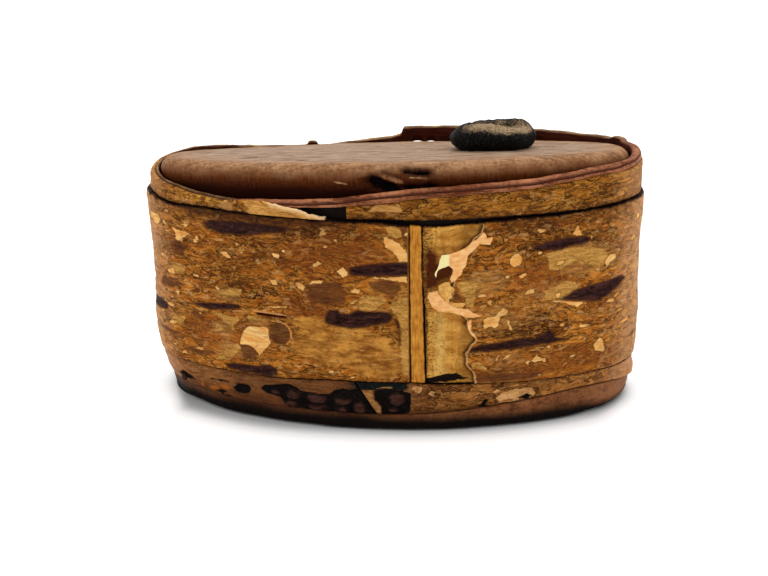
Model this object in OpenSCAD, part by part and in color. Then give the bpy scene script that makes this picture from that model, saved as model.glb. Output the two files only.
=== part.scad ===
// Oval snuff box of birch bark: a folded bark tube in a seamed bark jacket, two bark hoops,
// a pegged wooden bottom, and a wooden plug lid with a leather pull.
// Millimetres. +Z up, front at -Y, origin under the middle of the bottom.

/* [Box] */
// Width of the jacket, end to end
box_w = 96; // [88:1:116]
// Depth of the jacket, front to back
box_d = 44; // [40:1:54]
// Radius of the jacket's round ends
end_r = 13; // [11:0.5:16]
// Height of the rim in the middle of the box
rim_h = 47.4; // [46:0.2:60]
// Rise of the hand-cut rim from the left end to the right end
rim_rise_side = 3.5; // [0:0.1:4.5]
// Rise of the rim from front to back
rim_rise_back = 2.5; // [0:0.1:3]

/* [Bark layers] */
// Thickness of the outer jacket
jacket_t = 1.2; // [0.9:0.05:1.6]
// Thickness of the inner tube
tube_t = 1.3; // [1:0.05:1.8]
// Thickness of the two hoops
hoop_t = 0.8; // [0.5:0.05:1]
// Room left between one layer of bark and the next
layer_gap = 0.1; // [0.05:0.01:0.15]
// Height of the jacket's lower edge above the table
jacket_z = 9.1; // [8:0.1:10]
// Height of the jacket
jacket_h = 32.4; // [28:0.2:33]

/* [Folded lips] */
// Height of the lip folded out along the rim
rim_lip_h = 1.6; // [1:0.1:1.8]
// Drop of the lip below the tube's own edge
rim_lip_drop = 0.2; // [0.1:0.05:0.4]
// Setback of both lips from the jacket's face
lip_setback = 0.3; // [0.2:0.05:0.4]
// Distance of the rim lip's front end from the left end of the box
rim_lip_start = 19.5; // [14:0.5:30]
// Offset of the broken back rim from the middle of the box
rim_step_x = 0.5; // [-6:0.1:8]
// Drop of the broken back rim below the whole rim beside it
rim_step_h = 1.8; // [0.8:0.1:2.2]
// Height of the lip folded out at the foot
foot_lip_h = 3.4; // [2.8:0.1:3.6]
// Radius of the foot's rounded outer edge
foot_r = 1.8; // [1:0.1:2]
// Height of the foot's underside above the table
foot_clear = 0.3; // [0.1:0.05:0.5]

/* [Seam] */
// Offset of the seam from the middle of the front
seam_s = 6; // [0:0.1:10]
// Width of the bark strip let into the seam
strip_w = 2.7; // [2:0.1:4]
// Room on each side of the strip
strip_gap = 0.15; // [0.05:0.05:0.3]
// How far the strip stands out of the jacket
strip_proud = 0.1; // [0:0.05:0.1]
// Width of the peeled patch to the right of the strip
peel_w = 8.4; // [4:0.2:14]
// Depth of the peeled patch
peel_depth = 0.45; // [0.2:0.05:0.7]

/* [Hoops] */
// Offset of the upper hoop's joint from the middle of the front
upper_joint_s = -6.4; // [-14:0.1:0]
// Width of the open joint at the foot of the upper hoop
upper_joint_w = 4.4; // [2:0.1:8]
// Length of the torn, tapering end of the upper hoop
upper_tear_l = 11.5; // [6:0.5:18]
// Height that the tapering end has lost where the tear begins
upper_tear_h = 0.8; // [0.4:0.1:1.6]
// Offset of the lower hoop's joint from the middle of the front
lower_joint_s = -3.2; // [-14:0.1:0]
// Width of the lower hoop's slanting joint
lower_joint_w = 1.6; // [0.8:0.1:3]
// Sideways lean of the lower hoop's joint over the hoop's height
lower_joint_lean = 2.8; // [0:0.1:5]

/* [Bottom] */
// Thickness of the bottom board
board_t = 6.4; // [6:0.2:9]
// Room between the bottom board and the tube
board_fit = 0.08; // [0.04:0.01:0.15]
// Diameter of the wooden pegs that hold the bottom
peg_d = 1.5; // [1.1:0.1:1.8]
// Room round each peg
peg_fit = 0.04; // [0.02:0.01:0.08]
// Length of peg inside the board
peg_bite = 5; // [3:0.5:8]
// Height of the pegs above the table
peg_z = 4.5; // [4.4:0.1:4.9]
// Swing of the outer pegs round each end of the box
peg_swing = 56; // [40:1:57]

/* [Lid] */
// Thickness of the plug lid
lid_t = 10; // [8:0.5:14]
// Height of the lid's top above the rim, in the middle
lid_proud = 1.5; // [0.5:0.1:3]
// Room round the lid at its widest
lid_gap = 0.35; // [0.3:0.05:0.6]
// Taper of the lid on each side, beyond what its lean takes up
lid_taper = 0.3; // [0.1:0.05:0.8]
// Radius of the lid's rounded top edge
lid_edge_r = 2.4; // [1.5:0.1:3]
// Lean of the lid, front edge up, in degrees
lid_lean = 7.4; // [0:0.2:8]
// Tilt of the lid, right end up, in degrees
lid_tilt = 1; // [0:0.1:2]
// Offset of the worm slot in the lid's front edge from the middle
slot_x = 6.3; // [-10:0.1:12]
// Distance of the worm slot from the lid's front face
slot_from_front = 2; // [1.5:0.1:8]
// Length of the worm slot
slot_l = 5.2; // [3:0.2:8]
// Width of the worm slot
slot_w = 1.3; // [0.8:0.1:2]
// Depth of the worm slot
slot_deep = 2.4; // [1:0.2:4]
// Offset of the broken knot in the lid's front edge from the middle
knot_x = 3; // [-10:0.2:10]
// Length of the broken knot
knot_l = 8; // [5:0.5:12]
// Radius of the broken knot
knot_r = 1.3; // [0.8:0.1:1.6]
// Depth of the broken knot's centre below the lid's top
knot_deep = 3; // [2.6:0.1:4]

/* [Pull] */
// Diameter of the rolled leather thong
thong_d = 4.9; // [3.6:0.1:5.4]
// Length of the flat loop
loop_l = 16.4; // [12:0.2:20]
// Slit left between the loop's two strands
loop_slit = 0.3; // [0.2:0.05:1]
// Room under the loop and in its seat
loop_lift = 0.25; // [0.2:0.05:0.4]
// Distance of the pull from the right end of the box
pull_from_end = 28.7; // [24:0.1:40]
// Distance of the pull's back strand from the back of the box
pull_from_back = 19.5; // [10:0.1:22]
// Diameter of the thong's drawn-down tails in the lid
tail_d = 4.4; // [3:0.1:4.8]
// Room round the tails in the lid's hole
tail_fit = 0.04; // [0.02:0.01:0.1]
// Height of the tails' shoulder above the lid
tail_shoulder = 0.9; // [0.6:0.05:1.1]
// Height of the wooden wedge that spreads the tails
wedge_h = 7; // [4:0.5:7.2]
// Thickness of the wedge at its butt
wedge_t = 1.6; // [1.2:0.1:2]
// Thickness of the wedge at its point
wedge_tip = 0.5; // [0.3:0.1:0.8]

/* [Hidden] */
$fn = 96;
// A cutting block larger than any part of the box
far = 3*box_w;
// Cuts run this far past the faces that they open
past = 1;
// Facets of a rounded edge
edge_steps = 5;
// How far the end arcs swell out of the side arcs where the two cross
swell = 0.04;
// Four-centre oval: the end arcs' and side arcs' centres, the side radius and the angle where they meet
end_x = box_w/2 - end_r;
half_d = box_d/2;
touch_r = end_r - swell;
side_r = (end_x*end_x + half_d*half_d - touch_r*touch_r)/(2*(half_d - touch_r));
side_y = side_r - half_d;
meet_a = atan2(side_y, end_x);
// Angle by which the side cutters run on past the end arcs' own
run_on = 10;
// Faces of the layers, measured outwards from the jacket's face
tube_face = -jacket_t - layer_gap;
tube_inner = tube_face - tube_t;
hoop_inner = tube_face + layer_gap;
hoop_face = hoop_inner + hoop_t;
lip_face = -lip_setback;
// Heights of the layers
jacket_top = jacket_z + jacket_h;
hoop_low_z = foot_lip_h + layer_gap;
hoop_low_top = jacket_z - layer_gap;
hoop_up_z = jacket_top + layer_gap;
// Slopes of the rim
rim_a = atan(rim_rise_side/box_w);
rim_b = atan(rim_rise_back/box_d);
// Height of the rim beside the step at the back, and of the broken rim left of it
rim_at_step = rim_h + rim_step_x*tan(rim_a) + half_d*tan(rim_b);
rim_broken_z = rim_at_step - rim_step_h;
rim_lip_x = rim_lip_start - box_w/2;
// Height of the tube and the upper hoop before their rim is cut to its slope
blank_top = rim_h + rim_rise_side + rim_rise_back;
// Lid in its own frame: origin in the middle of its top, faces measured from the jacket's face.
// Its sides draw in by what the lean shifts them, so that it still lifts straight out.
lid_wide = tube_inner - lid_gap;
lid_draw = lid_taper/(lid_t - lid_edge_r) + tan(lid_lean);
function lid_side(z) = lid_wide + lid_draw*(z + lid_edge_r);
lid_top = rim_h + lid_proud;
slot_y = side_y - sqrt(pow(side_r + lid_wide, 2) - slot_x*slot_x) + slot_from_front;
knot_y = side_y - sqrt(pow(side_r + lid_wide, 2) - knot_x*knot_x);
// Pull: radius, place of the back strand, which is the hinge line, and spacing of the strands
thong_r = thong_d/2;
pull_x = box_w/2 - pull_from_end;
pull_y = half_d - pull_from_back;
pull_z = loop_lift + thong_r;
strand_gap = thong_d + loop_slit;
strand_l = loop_l - strand_gap - thong_d;

// Upright oval block whose face lies "out" outside the jacket's face
module oval_block(out, low, high) {
    meet_x = end_x + (end_r + out)*cos(meet_a);
    translate([0, 0, low]) {
        intersection() {
            translate([0, side_y, 0]) cylinder(r = side_r + out, h = high - low);
            translate([0, -side_y, 0]) cylinder(r = side_r + out, h = high - low);
            translate([-meet_x, -box_d, 0]) cube([2*meet_x, 2*box_d, high - low]);
        }
        for (side = [-1, 1])
            translate([side*end_x, 0, 0]) cylinder(r = end_r + out, h = high - low);
    }
}

// Cutter of a profile carried round the oval, to shape the edge of a block. The profile's x runs
// outwards from the jacket's face, its y is the height. The side cutters run on past the ends' own.
module oval_cutter() {
    for (side = [0, 180])
        rotate([0, 0, side]) {
            translate([end_x, 0, 0]) rotate([0, 0, -meet_a]) rotate_extrude(angle = 2*meet_a)
                translate([end_r, 0]) children();
            translate([0, -side_y, 0]) rotate([0, 0, meet_a - run_on])
                rotate_extrude(angle = 180 - 2*meet_a + 2*run_on) translate([side_r, 0]) children();
        }
}

// Upright wall round the oval between two faces and two heights
module oval_wall(inner, outer, low, high) {
    difference() {
        oval_block(outer, low, high);
        oval_block(inner, low - past, high + past);
    }
}

// Piece of the front wall between two places along it, two faces and two heights
module front_piece(left, right, inner, outer, low, high) {
    left_a = left/side_r*180/PI;
    width_a = (right - left)/side_r*180/PI;
    translate([0, side_y, 0]) rotate([0, 0, left_a - 90]) rotate_extrude(angle = width_a)
        translate([side_r + inner, low]) square([outer - inner, high - low]);
}

// Puts its children into the sloping plane of the rim
module at_rim() {
    translate([0, 0, rim_h]) rotate([rim_b, -rim_a, 0]) children();
}

// All that lies above the rim, or "drop" below it
module above_rim(drop = 0) {
    at_rim() translate([-far/2, -far/2, -drop]) cube(far);
}

// Stretch of the box where the rim's lip has kept: all but the left of the front and of the back
module lip_stretch(grow = 0) {
    translate([rim_lip_x - grow, -far, -far/2]) cube(far);
    translate([rim_step_x - grow, -past, -far/2]) cube(far);
}

// Block that takes the broken rim off, left of the step at the back
module broken_rim() {
    translate([rim_step_x - far, past, rim_broken_z]) cube(far);
}

// Point a little past "end", on the line that comes from "start"
function run_past(start, end) = end + (end - start)/norm(end - start)*past/2;

// Outline of the waste outside a rounded outer edge at (x, y), whose flat face is up (1) or down (-1)
function edge_waste(x, y, r, up) =
    let (arc = [for (step = [0:edge_steps]) let (turn = 90*step/edge_steps)
        [x - r + r*sin(turn), y + up*r*(cos(turn) - 1)]])
    concat([run_past(arc[1], arc[0])], arc, [run_past(arc[edge_steps - 1], arc[edge_steps])],
        [[x + past, y + up*past]]);

// Block of the lip folded out along the rim, before the tube is hollowed
module rim_lip() {
    intersection() {
        at_rim() oval_block(lip_face, -rim_lip_drop - rim_lip_h, -rim_lip_drop);
        lip_stretch();
    }
}

// Block of the lip folded out at the foot, round at its outer edge, before the tube is hollowed
module foot_lip() {
    difference() {
        oval_block(lip_face, foot_clear, foot_lip_h);
        oval_cutter() polygon(edge_waste(lip_face, foot_clear, foot_r, -1));
    }
}

// Pegs round both ends, from "from" to "to" measured outwards from the jacket's face
module ring_of_pegs(d, from, to) {
    for (side = [0, 180])
        for (swing = [-peg_swing, 0, peg_swing])
            rotate([0, 0, side]) translate([end_x, 0, peg_z]) rotate([0, 0, swing]) rotate([0, 90, 0])
                translate([0, 0, end_r + from]) cylinder(d = d, h = to - from);
}

// Holes for the pegs, through the hoop and the tube and into the board
module peg_holes() {
    ring_of_pegs(peg_d + 2*peg_fit, tube_inner - peg_bite - past/2, past);
}

module inner_tube() {
    color([0.42, 0.22, 0.14]) difference() {
        union() {
            difference() {
                oval_block(tube_face, foot_clear, blank_top);
                above_rim();
            }
            rim_lip();
            foot_lip();
        }
        oval_block(tube_inner, -past, blank_top + past);
        broken_rim();
        peg_holes();
    }
}

module outer_jacket() {
    strip_left = seam_s - strip_w/2 - strip_gap;
    strip_right = seam_s + strip_w/2 + strip_gap;
    low = jacket_z - past;
    high = jacket_top + past;
    color([0.52, 0.34, 0.17]) difference() {
        oval_wall(-jacket_t, 0, jacket_z, jacket_top);
        front_piece(strip_left, strip_right, -jacket_t - past, past, low, high);
        front_piece(strip_right - strip_gap, strip_right + peel_w, -peel_depth, past, low, high);
    }
}

module seam_strip() {
    color([0.74, 0.52, 0.25])
        front_piece(seam_s - strip_w/2, seam_s + strip_w/2, -jacket_t, strip_proud, jacket_z, jacket_top);
}

module upper_hoop() {
    joint_left = upper_joint_s - upper_joint_w;
    tear_left = joint_left - upper_tear_l;
    tear_z = rim_h + tear_left*tan(rim_a) - half_d*tan(rim_b) - upper_tear_h;
    high = blank_top + past;
    color([0.56, 0.37, 0.18]) difference() {
        oval_wall(hoop_inner, hoop_face, hoop_up_z, blank_top);
        above_rim(rim_lip_drop);
        intersection() {
            above_rim(rim_lip_drop + rim_lip_h + layer_gap);
            lip_stretch(layer_gap);
        }
        broken_rim();
        rotate([90, 0, 0]) linear_extrude(height = box_d)
            polygon([[joint_left, hoop_up_z - past], [upper_joint_s, hoop_up_z - past],
                [upper_joint_s, high], [tear_left, high], [tear_left, tear_z], [joint_left, hoop_up_z]]);
    }
}

module lower_hoop() {
    low = hoop_low_z - past;
    high = hoop_low_top + past;
    left_low = lower_joint_s + lower_joint_lean/2;
    left_high = lower_joint_s - lower_joint_lean/2;
    color([0.45, 0.28, 0.16]) difference() {
        oval_wall(hoop_inner, hoop_face, hoop_low_z, hoop_low_top);
        rotate([90, 0, 0]) linear_extrude(height = box_d)
            polygon([[left_low, low], [left_low + lower_joint_w, low], [left_high + lower_joint_w, high],
                [left_high, high]]);
        peg_holes();
    }
}

module bottom_board() {
    color([0.50, 0.36, 0.24]) difference() {
        oval_block(tube_inner - board_fit, 0, board_t);
        peg_holes();
    }
}

module bottom_pegs() {
    color([0.20, 0.13, 0.09]) ring_of_pegs(peg_d, tube_inner - peg_bite, hoop_face);
}

// Puts its children into the frame of the lid, which sits askew about the middle of its widest line
module at_lid() {
    translate([0, 0, lid_top - lid_edge_r]) rotate([-lid_lean, -lid_tilt, 0])
        translate([0, 0, lid_edge_r]) children();
}

// Round hole for the pull's tails, through the lid's frame
module tail_core(d, low, high) {
    translate([pull_x, pull_y, low]) cylinder(d = d, h = high - low);
}

// Tapered wedge between the tails, driven up from the underside of the lid
module wedge_body(spare = 0) {
    translate([pull_x - tail_d/2, pull_y, -lid_t - spare]) rotate([90, 0, 90])
        linear_extrude(height = tail_d)
            polygon([[-wedge_t/2 - spare, 0], [wedge_t/2 + spare, 0],
                [wedge_tip/2 + spare, wedge_h + 2*spare], [-wedge_tip/2 - spare, wedge_h + 2*spare]]);
}

module lid_board() {
    color([0.40, 0.28, 0.20]) at_lid() difference() {
        oval_block(0, -lid_t, 0);
        oval_cutter() polygon(edge_waste(lid_wide, 0, lid_edge_r, 1));
        oval_cutter() polygon([[lid_side(past), past], [lid_side(-lid_t - past), -lid_t - past],
            [past, -lid_t - past], [past, past]]);
        tail_core(tail_d + 2*tail_fit, -lid_t - past, past);
        for (end = [-1, 1])
            translate([slot_x + end*(slot_l - slot_w)/2, slot_y, -slot_deep])
                cylinder(d = slot_w, h = slot_deep + past);
        translate([slot_x - (slot_l - slot_w)/2, slot_y - slot_w/2, -slot_deep])
            cube([slot_l - slot_w, slot_w, slot_deep + past]);
        translate([knot_x - knot_l/2, knot_y, -knot_deep]) rotate([0, 90, 0])
            cylinder(r = knot_r, h = knot_l);
        for (end = [-1, 1])
            translate([knot_x + end*knot_l/2, knot_y, -knot_deep]) sphere(r = knot_r);
    }
}

module pull_loop() {
    color([0.12, 0.10, 0.08]) at_lid() translate([pull_x, pull_y, pull_z]) {
        for (strand = [0, -strand_gap])
            translate([-strand_l/2, strand, 0]) rotate([0, 90, 0]) cylinder(d = thong_d, h = strand_l);
        for (end = [0, 180])
            translate([0, -strand_gap/2, 0]) rotate([0, 0, end]) translate([strand_l/2, 0, 0])
                rotate([0, 0, -90]) rotate_extrude(angle = 180) translate([strand_gap/2, 0])
                    circle(d = thong_d);
    }
}

module pull_tails() {
    color([0.15, 0.11, 0.08]) at_lid() difference() {
        tail_core(tail_d, -lid_t, tail_shoulder);
        translate([pull_x - tail_d, pull_y, pull_z]) rotate([0, 90, 0])
            cylinder(r = thong_r + loop_lift, h = 2*tail_d);
        wedge_body(tail_fit);
    }
}

module pull_wedge() {
    color([0.55, 0.42, 0.27]) at_lid() intersection() {
        wedge_body();
        tail_core(tail_d, -lid_t, 0);
    }
}

inner_tube();
outer_jacket();
seam_strip();
upper_hoop();
lower_hoop();
bottom_board();
bottom_pegs();
lid_board();
pull_loop();
pull_tails();
pull_wedge();
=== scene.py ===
# Oval birch-bark snuff box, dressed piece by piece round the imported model, from the bottom up.
# Lengths are millimetres until a mesh is made, where they become metres.
import math

import bpy
import numpy as np
from mathutils import Matrix, Vector


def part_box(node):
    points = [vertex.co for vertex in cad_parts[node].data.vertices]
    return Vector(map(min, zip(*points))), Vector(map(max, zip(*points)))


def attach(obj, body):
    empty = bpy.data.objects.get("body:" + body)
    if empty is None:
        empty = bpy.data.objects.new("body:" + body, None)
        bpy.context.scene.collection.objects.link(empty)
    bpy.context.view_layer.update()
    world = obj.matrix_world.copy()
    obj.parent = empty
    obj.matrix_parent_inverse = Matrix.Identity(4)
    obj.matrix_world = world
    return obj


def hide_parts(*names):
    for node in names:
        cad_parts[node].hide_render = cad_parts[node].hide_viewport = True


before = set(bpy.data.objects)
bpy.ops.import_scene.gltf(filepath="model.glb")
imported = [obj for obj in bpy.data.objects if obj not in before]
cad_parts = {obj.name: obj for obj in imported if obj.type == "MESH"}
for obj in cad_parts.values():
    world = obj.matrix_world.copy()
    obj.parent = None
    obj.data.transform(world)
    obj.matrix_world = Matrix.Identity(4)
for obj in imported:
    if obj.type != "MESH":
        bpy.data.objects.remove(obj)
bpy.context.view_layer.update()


# Bottom board: an oval of dry softwood, sawn to drop into the foot of the bark tube and held there
# by pegs. It keeps the shape of its solid, with the grain along the box and saw lines across it.
MM = 0.001


class Wire:
    """A socket in a material. Sums on it add Math nodes, and node() adds any other node."""

    def __init__(self, tree, socket=None):
        self.tree = tree
        self.socket = socket

    def node(self, kind, settings, inputs, output=0):
        made = self.tree.nodes.new("ShaderNode" + kind)
        for name, value in settings.items():
            setattr(made, name, value)
        for key, value in inputs.items():
            if isinstance(value, Wire):
                self.tree.links.new(value.socket, made.inputs[key])
            else:
                made.inputs[key].default_value = value
        return Wire(self.tree, made.outputs[output])

    def math(self, operation, first, second=0.0):
        return self.node("Math", {"operation": operation}, {0: first, 1: second})

    def __add__(self, other):
        return self.math("ADD", self, other)

    def __radd__(self, other):
        return self.math("ADD", other, self)

    def __sub__(self, other):
        return self.math("SUBTRACT", self, other)

    def __rsub__(self, other):
        return self.math("SUBTRACT", other, self)

    def __mul__(self, other):
        return self.math("MULTIPLY", self, other)

    def __rmul__(self, other):
        return self.math("MULTIPLY", other, self)

    def lift(self, low, high):
        """Mask that goes smoothly from 0 at low to 1 at high."""
        inputs = {"Value": self, "From Min": low, "From Max": high}
        return self.node("MapRange", {"interpolation_type": "SMOOTHSTEP"}, inputs)

    def tint(self, below, above):
        """Colour that goes from below to above as this mask goes from 0 to 1."""
        return self.node("Mix", {"data_type": "RGBA"}, {0: self, 6: below, 7: above}, 2)

    def lines(self, count, width):
        """Thin lines along equal levels of this value, so many levels to the unit."""
        level = self.math("FRACT", self * count) - 0.5
        return self.math("ABSOLUTE", level).lift(width, width * 0.35)

    def mark(self, name):
        """A piece's own number at each point."""
        return self.node("Attribute", {"attribute_name": name}, {}, 2)

    def sway(self, amount):
        """A noise from 0 to 1, made to swing about 0 by half the amount."""
        return (self - 0.5) * amount

    def place(self):
        """Where each point of a piece lies, in metres."""
        return self.node("TexCoord", {}, {}, 3)

    def part(self, vector, axis):
        """One number of a vector: 0 for x, 1 for y, 2 for z."""
        return self.node("SeparateXYZ", {}, {"Vector": vector}, axis)

    def flat(self, across, up):
        """A place on a flat sheet, from two numbers."""
        return self.node("CombineXYZ", {}, {"X": across, "Y": up})

    def noise(self, place, stretch, detail=5.0, roughness=0.55, distortion=0.0):
        """Cloudy noise from 0 to 1, with stretch patches to each unit of place along x, y and z."""
        spread = self.node("Mapping", {}, {"Vector": place, "Scale": stretch})
        inputs = {"Vector": spread, "Scale": 1.0, "Detail": detail, "Roughness": roughness,
                  "Distortion": distortion}
        return self.node("TexNoise", {}, inputs)


def paint(red, green, blue):
    """Colour as a screen shows it, 0 to 255, turned into the shader's own numbers."""
    parts = [part / 255 for part in (red, green, blue)]
    return [part / 12.92 if part < 0.04045 else ((part + 0.055) / 1.055) ** 2.4 for part in parts] + [1]


def finish(name, specular):
    """New material, and a wire to build its nodes from."""
    material = bpy.data.materials.new(name)
    material.use_nodes = True
    material.node_tree.nodes["Principled BSDF"].inputs["Specular IOR Level"].default_value = specular
    return material, Wire(material.node_tree)


def coat(wire, colour, roughness, height, depth):
    """Feeds the shader a colour, a roughness and a height, which is depth mm where it is 1."""
    shader = wire.tree.nodes["Principled BSDF"]
    bump = wire.node("Bump", {}, {"Height": height, "Distance": depth * MM, "Strength": 1.0})
    for name, value in (("Base Color", colour), ("Roughness", roughness), ("Normal", bump)):
        wire.tree.links.new(value.socket, shader.inputs[name])


def sawn_wood(name, pale, dark, pore):
    """Plain wood with its grain along the box, in patches of so many to the metre."""
    material, wire = finish(name, 0.1)
    place = wire.place()
    grain = wire.noise(place, (45, 700, 700), 8, 0.6, 0.8)
    pores = wire.noise(place, (500, 6500, 6500), 3)
    stain = wire.noise(place, (60, 60, 60), 3)
    saw = wire.noise(place, (2600, 90, 90), 2)
    colour = grain.lift(0.3, 0.7).tint(dark, pale)
    colour = (pores.lift(0.58, 0.72) * 0.7).tint(colour, pore)
    colour = (stain.lift(0.5, 0.75) * 0.5).tint(colour, pore)
    coat(wire, colour, 0.85 - grain * 0.15, grain + pores * 0.3 + saw * 0.4, 0.12)
    return material


def dress(node, material):
    """Gives its material to a solid that keeps its own shape."""
    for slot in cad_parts[node].material_slots:
        slot.material = material


dress("bottom_board", sawn_wood(
    "bottom_wood", paint(168, 128, 86), paint(120, 82, 50), paint(62, 40, 24)))


# Inner tube: one sheet of birch bark, brown side in, bent to an oval. Its edge is folded out into a
# rolled lip round most of the rim and into a smooth, rounded foot; the back of the rim is broken.
JACKET_LOW, JACKET_HIGH = (np.array(corner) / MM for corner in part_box("outer_jacket"))
HALF_W = (JACKET_HIGH[0] - JACKET_LOW[0]) / 2
HALF_D = 22.0
END_R = 13.0
END_X = HALF_W - END_R
SIDE_R = (END_X**2 + HALF_D**2 - END_R**2) / (2 * (HALF_D - END_R))
SIDE_Y = SIDE_R - HALF_D
MEET = math.atan2(SIDE_Y, END_X)
SIDE_L = SIDE_R * (math.pi / 2 - MEET)
END_L = END_R * 2 * MEET
ROUND = 4 * SIDE_L + 2 * END_L


def fold(s):
    """The same place on the wall, as mm along it from the middle of the front, right or left."""
    return np.mod(s + ROUND / 2, ROUND) - ROUND / 2


def around(s, out):
    """x and y of a place s mm along the wall and out mm outside the jacket's face."""
    s = fold(s)
    t = np.abs(s)
    front = t / SIDE_R
    end = (t - SIDE_L) / END_R - MEET
    back = (ROUND / 2 - t) / SIDE_R
    zones = [t < SIDE_L, t < SIDE_L + END_L]
    x = np.select(zones, [(SIDE_R + out) * np.sin(front), END_X + (END_R + out) * np.cos(end)],
                  (SIDE_R + out) * np.sin(back))
    y = np.select(zones, [SIDE_Y - (SIDE_R + out) * np.cos(front), (END_R + out) * np.sin(end)],
                  (SIDE_R + out) * np.cos(back) - SIDE_Y)
    return np.sign(s) * x, y


LATTICE = 256


def noise(s, z, size, seed, stretch=1.0, octaves=4):
    """Seeded cloudy noise from 0 to 1 in patches of size mm, closed round the box."""
    total, share = 0.0, 0.0
    for octave in range(octaves):
        cells = max(1, round(ROUND / (size * stretch) * 2**octave))
        lattice = np.random.default_rng(seed + octave).random((LATTICE, cells))
        u = np.mod(s, ROUND) * cells / ROUND
        v = z / size * 2**octave
        i, j = np.floor(u).astype(int), np.floor(v).astype(int)
        a, b = u - i, v - j
        a, b = a * a * (3 - 2 * a), b * b * (3 - 2 * b)
        row, above = j % LATTICE, (j + 1) % LATTICE
        column, beside = i % cells, (i + 1) % cells
        low = lattice[row, column] * (1 - a) + lattice[row, beside] * a
        high = lattice[above, column] * (1 - a) + lattice[above, beside] * a
        total = total + (low * (1 - b) + high * b) * 0.5**octave
        share += 0.5**octave
    return total / share


def ease(value, low, high):
    """0 up to low, 1 from high, smooth between."""
    t = np.clip((value - low) / (high - low), 0, 1)
    return t * t * (3 - 2 * t)


def course(points, s, soft=1.5):
    """Height at s on a line through given points, with its corners softened."""
    places, heights = zip(*points)
    return sum(np.interp(fold(s + shift * soft), places, heights) for shift in (-1, -0.5, 0, 0.5, 1)) / 5


WELD = 1e-7


def note(piece, marks, shape):
    """Writes marks on a piece: by name, one number for each of its points."""
    for mark, values in marks.items():
        layer = piece.data.attributes.new(mark, "FLOAT", "POINT")
        layer.data.foreach_set("value", np.broadcast_to(values, shape).ravel().astype(np.float32))


def skin(name, x, y, z, marks):
    """Closed mesh through rows of points, with marks at each point; ends that meet are joined."""
    rows, columns = x.shape
    bpy.ops.object.select_all(action="DESELECT")
    bpy.ops.mesh.primitive_grid_add(x_subdivisions=columns - 1, y_subdivisions=rows - 1)
    piece = bpy.context.object
    piece.name = piece.data.name = name
    piece.data.vertices.foreach_set("co", np.stack([x, y, z], axis=-1).ravel() * MM)
    note(piece, marks, x.shape)
    bpy.ops.object.mode_set(mode="EDIT")
    bpy.ops.mesh.select_all(action="SELECT")
    bpy.ops.mesh.remove_doubles(threshold=WELD)
    bpy.ops.mesh.fill_holes(sides=0)
    bpy.ops.mesh.select_all(action="SELECT")
    bpy.ops.mesh.normals_make_consistent(inside=False)
    bpy.ops.object.mode_set(mode="OBJECT")
    bpy.ops.object.shade_smooth()
    return piece


def belongs(piece, material, body, slot, *nodes):
    """Gives a finished piece its material, its body and the solids that it stands for."""
    piece.data.materials.clear()
    piece.data.materials.append(material)
    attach(piece, body)
    if nodes:
        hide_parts(*nodes)


TUBE_STEPS = 720
TUBE_FACE, TUBE_INNER = -1.3, -2.6
LIP_FACE, LIP_SWELL, EDGE_R = -0.3, 0.12, 0.3
FOOT_CLEAR, FOOT_R, FOOT_SWELL, TOE_RIGHT = 0.12, 1.0, 0.1, 0.9
END_S = 58
RIM_H, RIM_SIDE, RIM_BACK = 47.4, 3.5 / 96, 2.5 / 44
RIM_WAVE = (
    (-114, 0.0), (-95, 0.2), (-70, 0.7), (-55, 0.5), (-44, -0.4), (-38, -1.3), (-29, -1.7), (-18, -1.0),
    (-9, -0.5), (-4, 0.0), (3, 0.8), (10, 1.1), (30, 0.9), (40, 1.2), (52, 0.6), (70, 0.2), (114, 0.0))
BROKEN_RIM = (
    (-114, 46.7), (-111, 46.5), (-106, 45.9), (-99, 45.2), (-93, 45.1), (-87, 45.5), (-81, 46.2),
    (-73, 47.0), (-64, 47.5))
BROKEN_RAGGED, RIM_UNEVEN = 0.4, 0.25
NUBS = ((-95.4, 0.8, 1.3, 0.7), (66, 0.5, 2.2, 0.8))
STEP_S = 113.3
TUCK_LEFT = (
    (0, 2.2), (2, 2.2), (3.5, 1.9), (5, 1.2), (6.5, 0.8), (8, 0.4), (9.5, 0.1), (11, -0.1), (13, -0.4),
    (16, -0.5), (19, -0.3), (22, 0), (26, 0.2), (30, 0.1), (35, 0), (41, 0), (44, 0.5), (47, 0.8))
LIP_FROM, LIP_FADE, LIP_UNEVEN = -29.0, 2.5, 0.35
TUCK_RIGHT, BULGE_RIGHT = 0.8, 0.4
LIP_H = ((-30, 0.7), (-20, 1.0), (-11, 1.2), (0, 1.7), (10, 1.5), (40, 1.4), (114, 1.5))
FOOT_TOP = (
    (-114, 3.6), (-45, 3.4), (0, 3.3), (9, 3.6), (17, 4.2), (29, 5.3), (37, 6.0), (46, 5.8), (54, 5.0),
    (60, 4.5), (72, 4.2), (114, 3.6))


def rim(s):
    """Height of the tube's edge, cut by hand to a slope and broken lower at the back left."""
    s = fold(s)
    x, y = around(s, TUBE_FACE)
    whole = RIM_H + RIM_SIDE * x + RIM_BACK * y + course(RIM_WAVE, s)
    broken = np.minimum(whole, course(BROKEN_RIM, s) + BROKEN_RAGGED * (noise(s, 0 * s, 5, 11) - 0.5))
    gone = np.where(s > 0, ease(s, STEP_S - 0.25, STEP_S + 0.25), ease(s, -60, -64))
    nubs = sum(high * ease(np.abs(s - at), foot, top) for at, high, foot, top in NUBS)
    return whole + (broken - whole) * gone + RIM_UNEVEN * (noise(s, 0 * s, 4, 21) - 0.5) + nubs


def tuck(s, z):
    """How far the wall draws in towards the foot at the box's left end, and a little at its right."""
    left = np.interp(z, *zip(*TUCK_LEFT)) * ease(np.abs(fold(s) + END_S), 27, 9)
    right = TUCK_RIGHT * ease(z, 8, 2) - BULGE_RIGHT * ease(np.abs(z - 15), 8, 3)
    return left + right * ease(np.abs(fold(s) - END_S), 24, 8)


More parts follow.
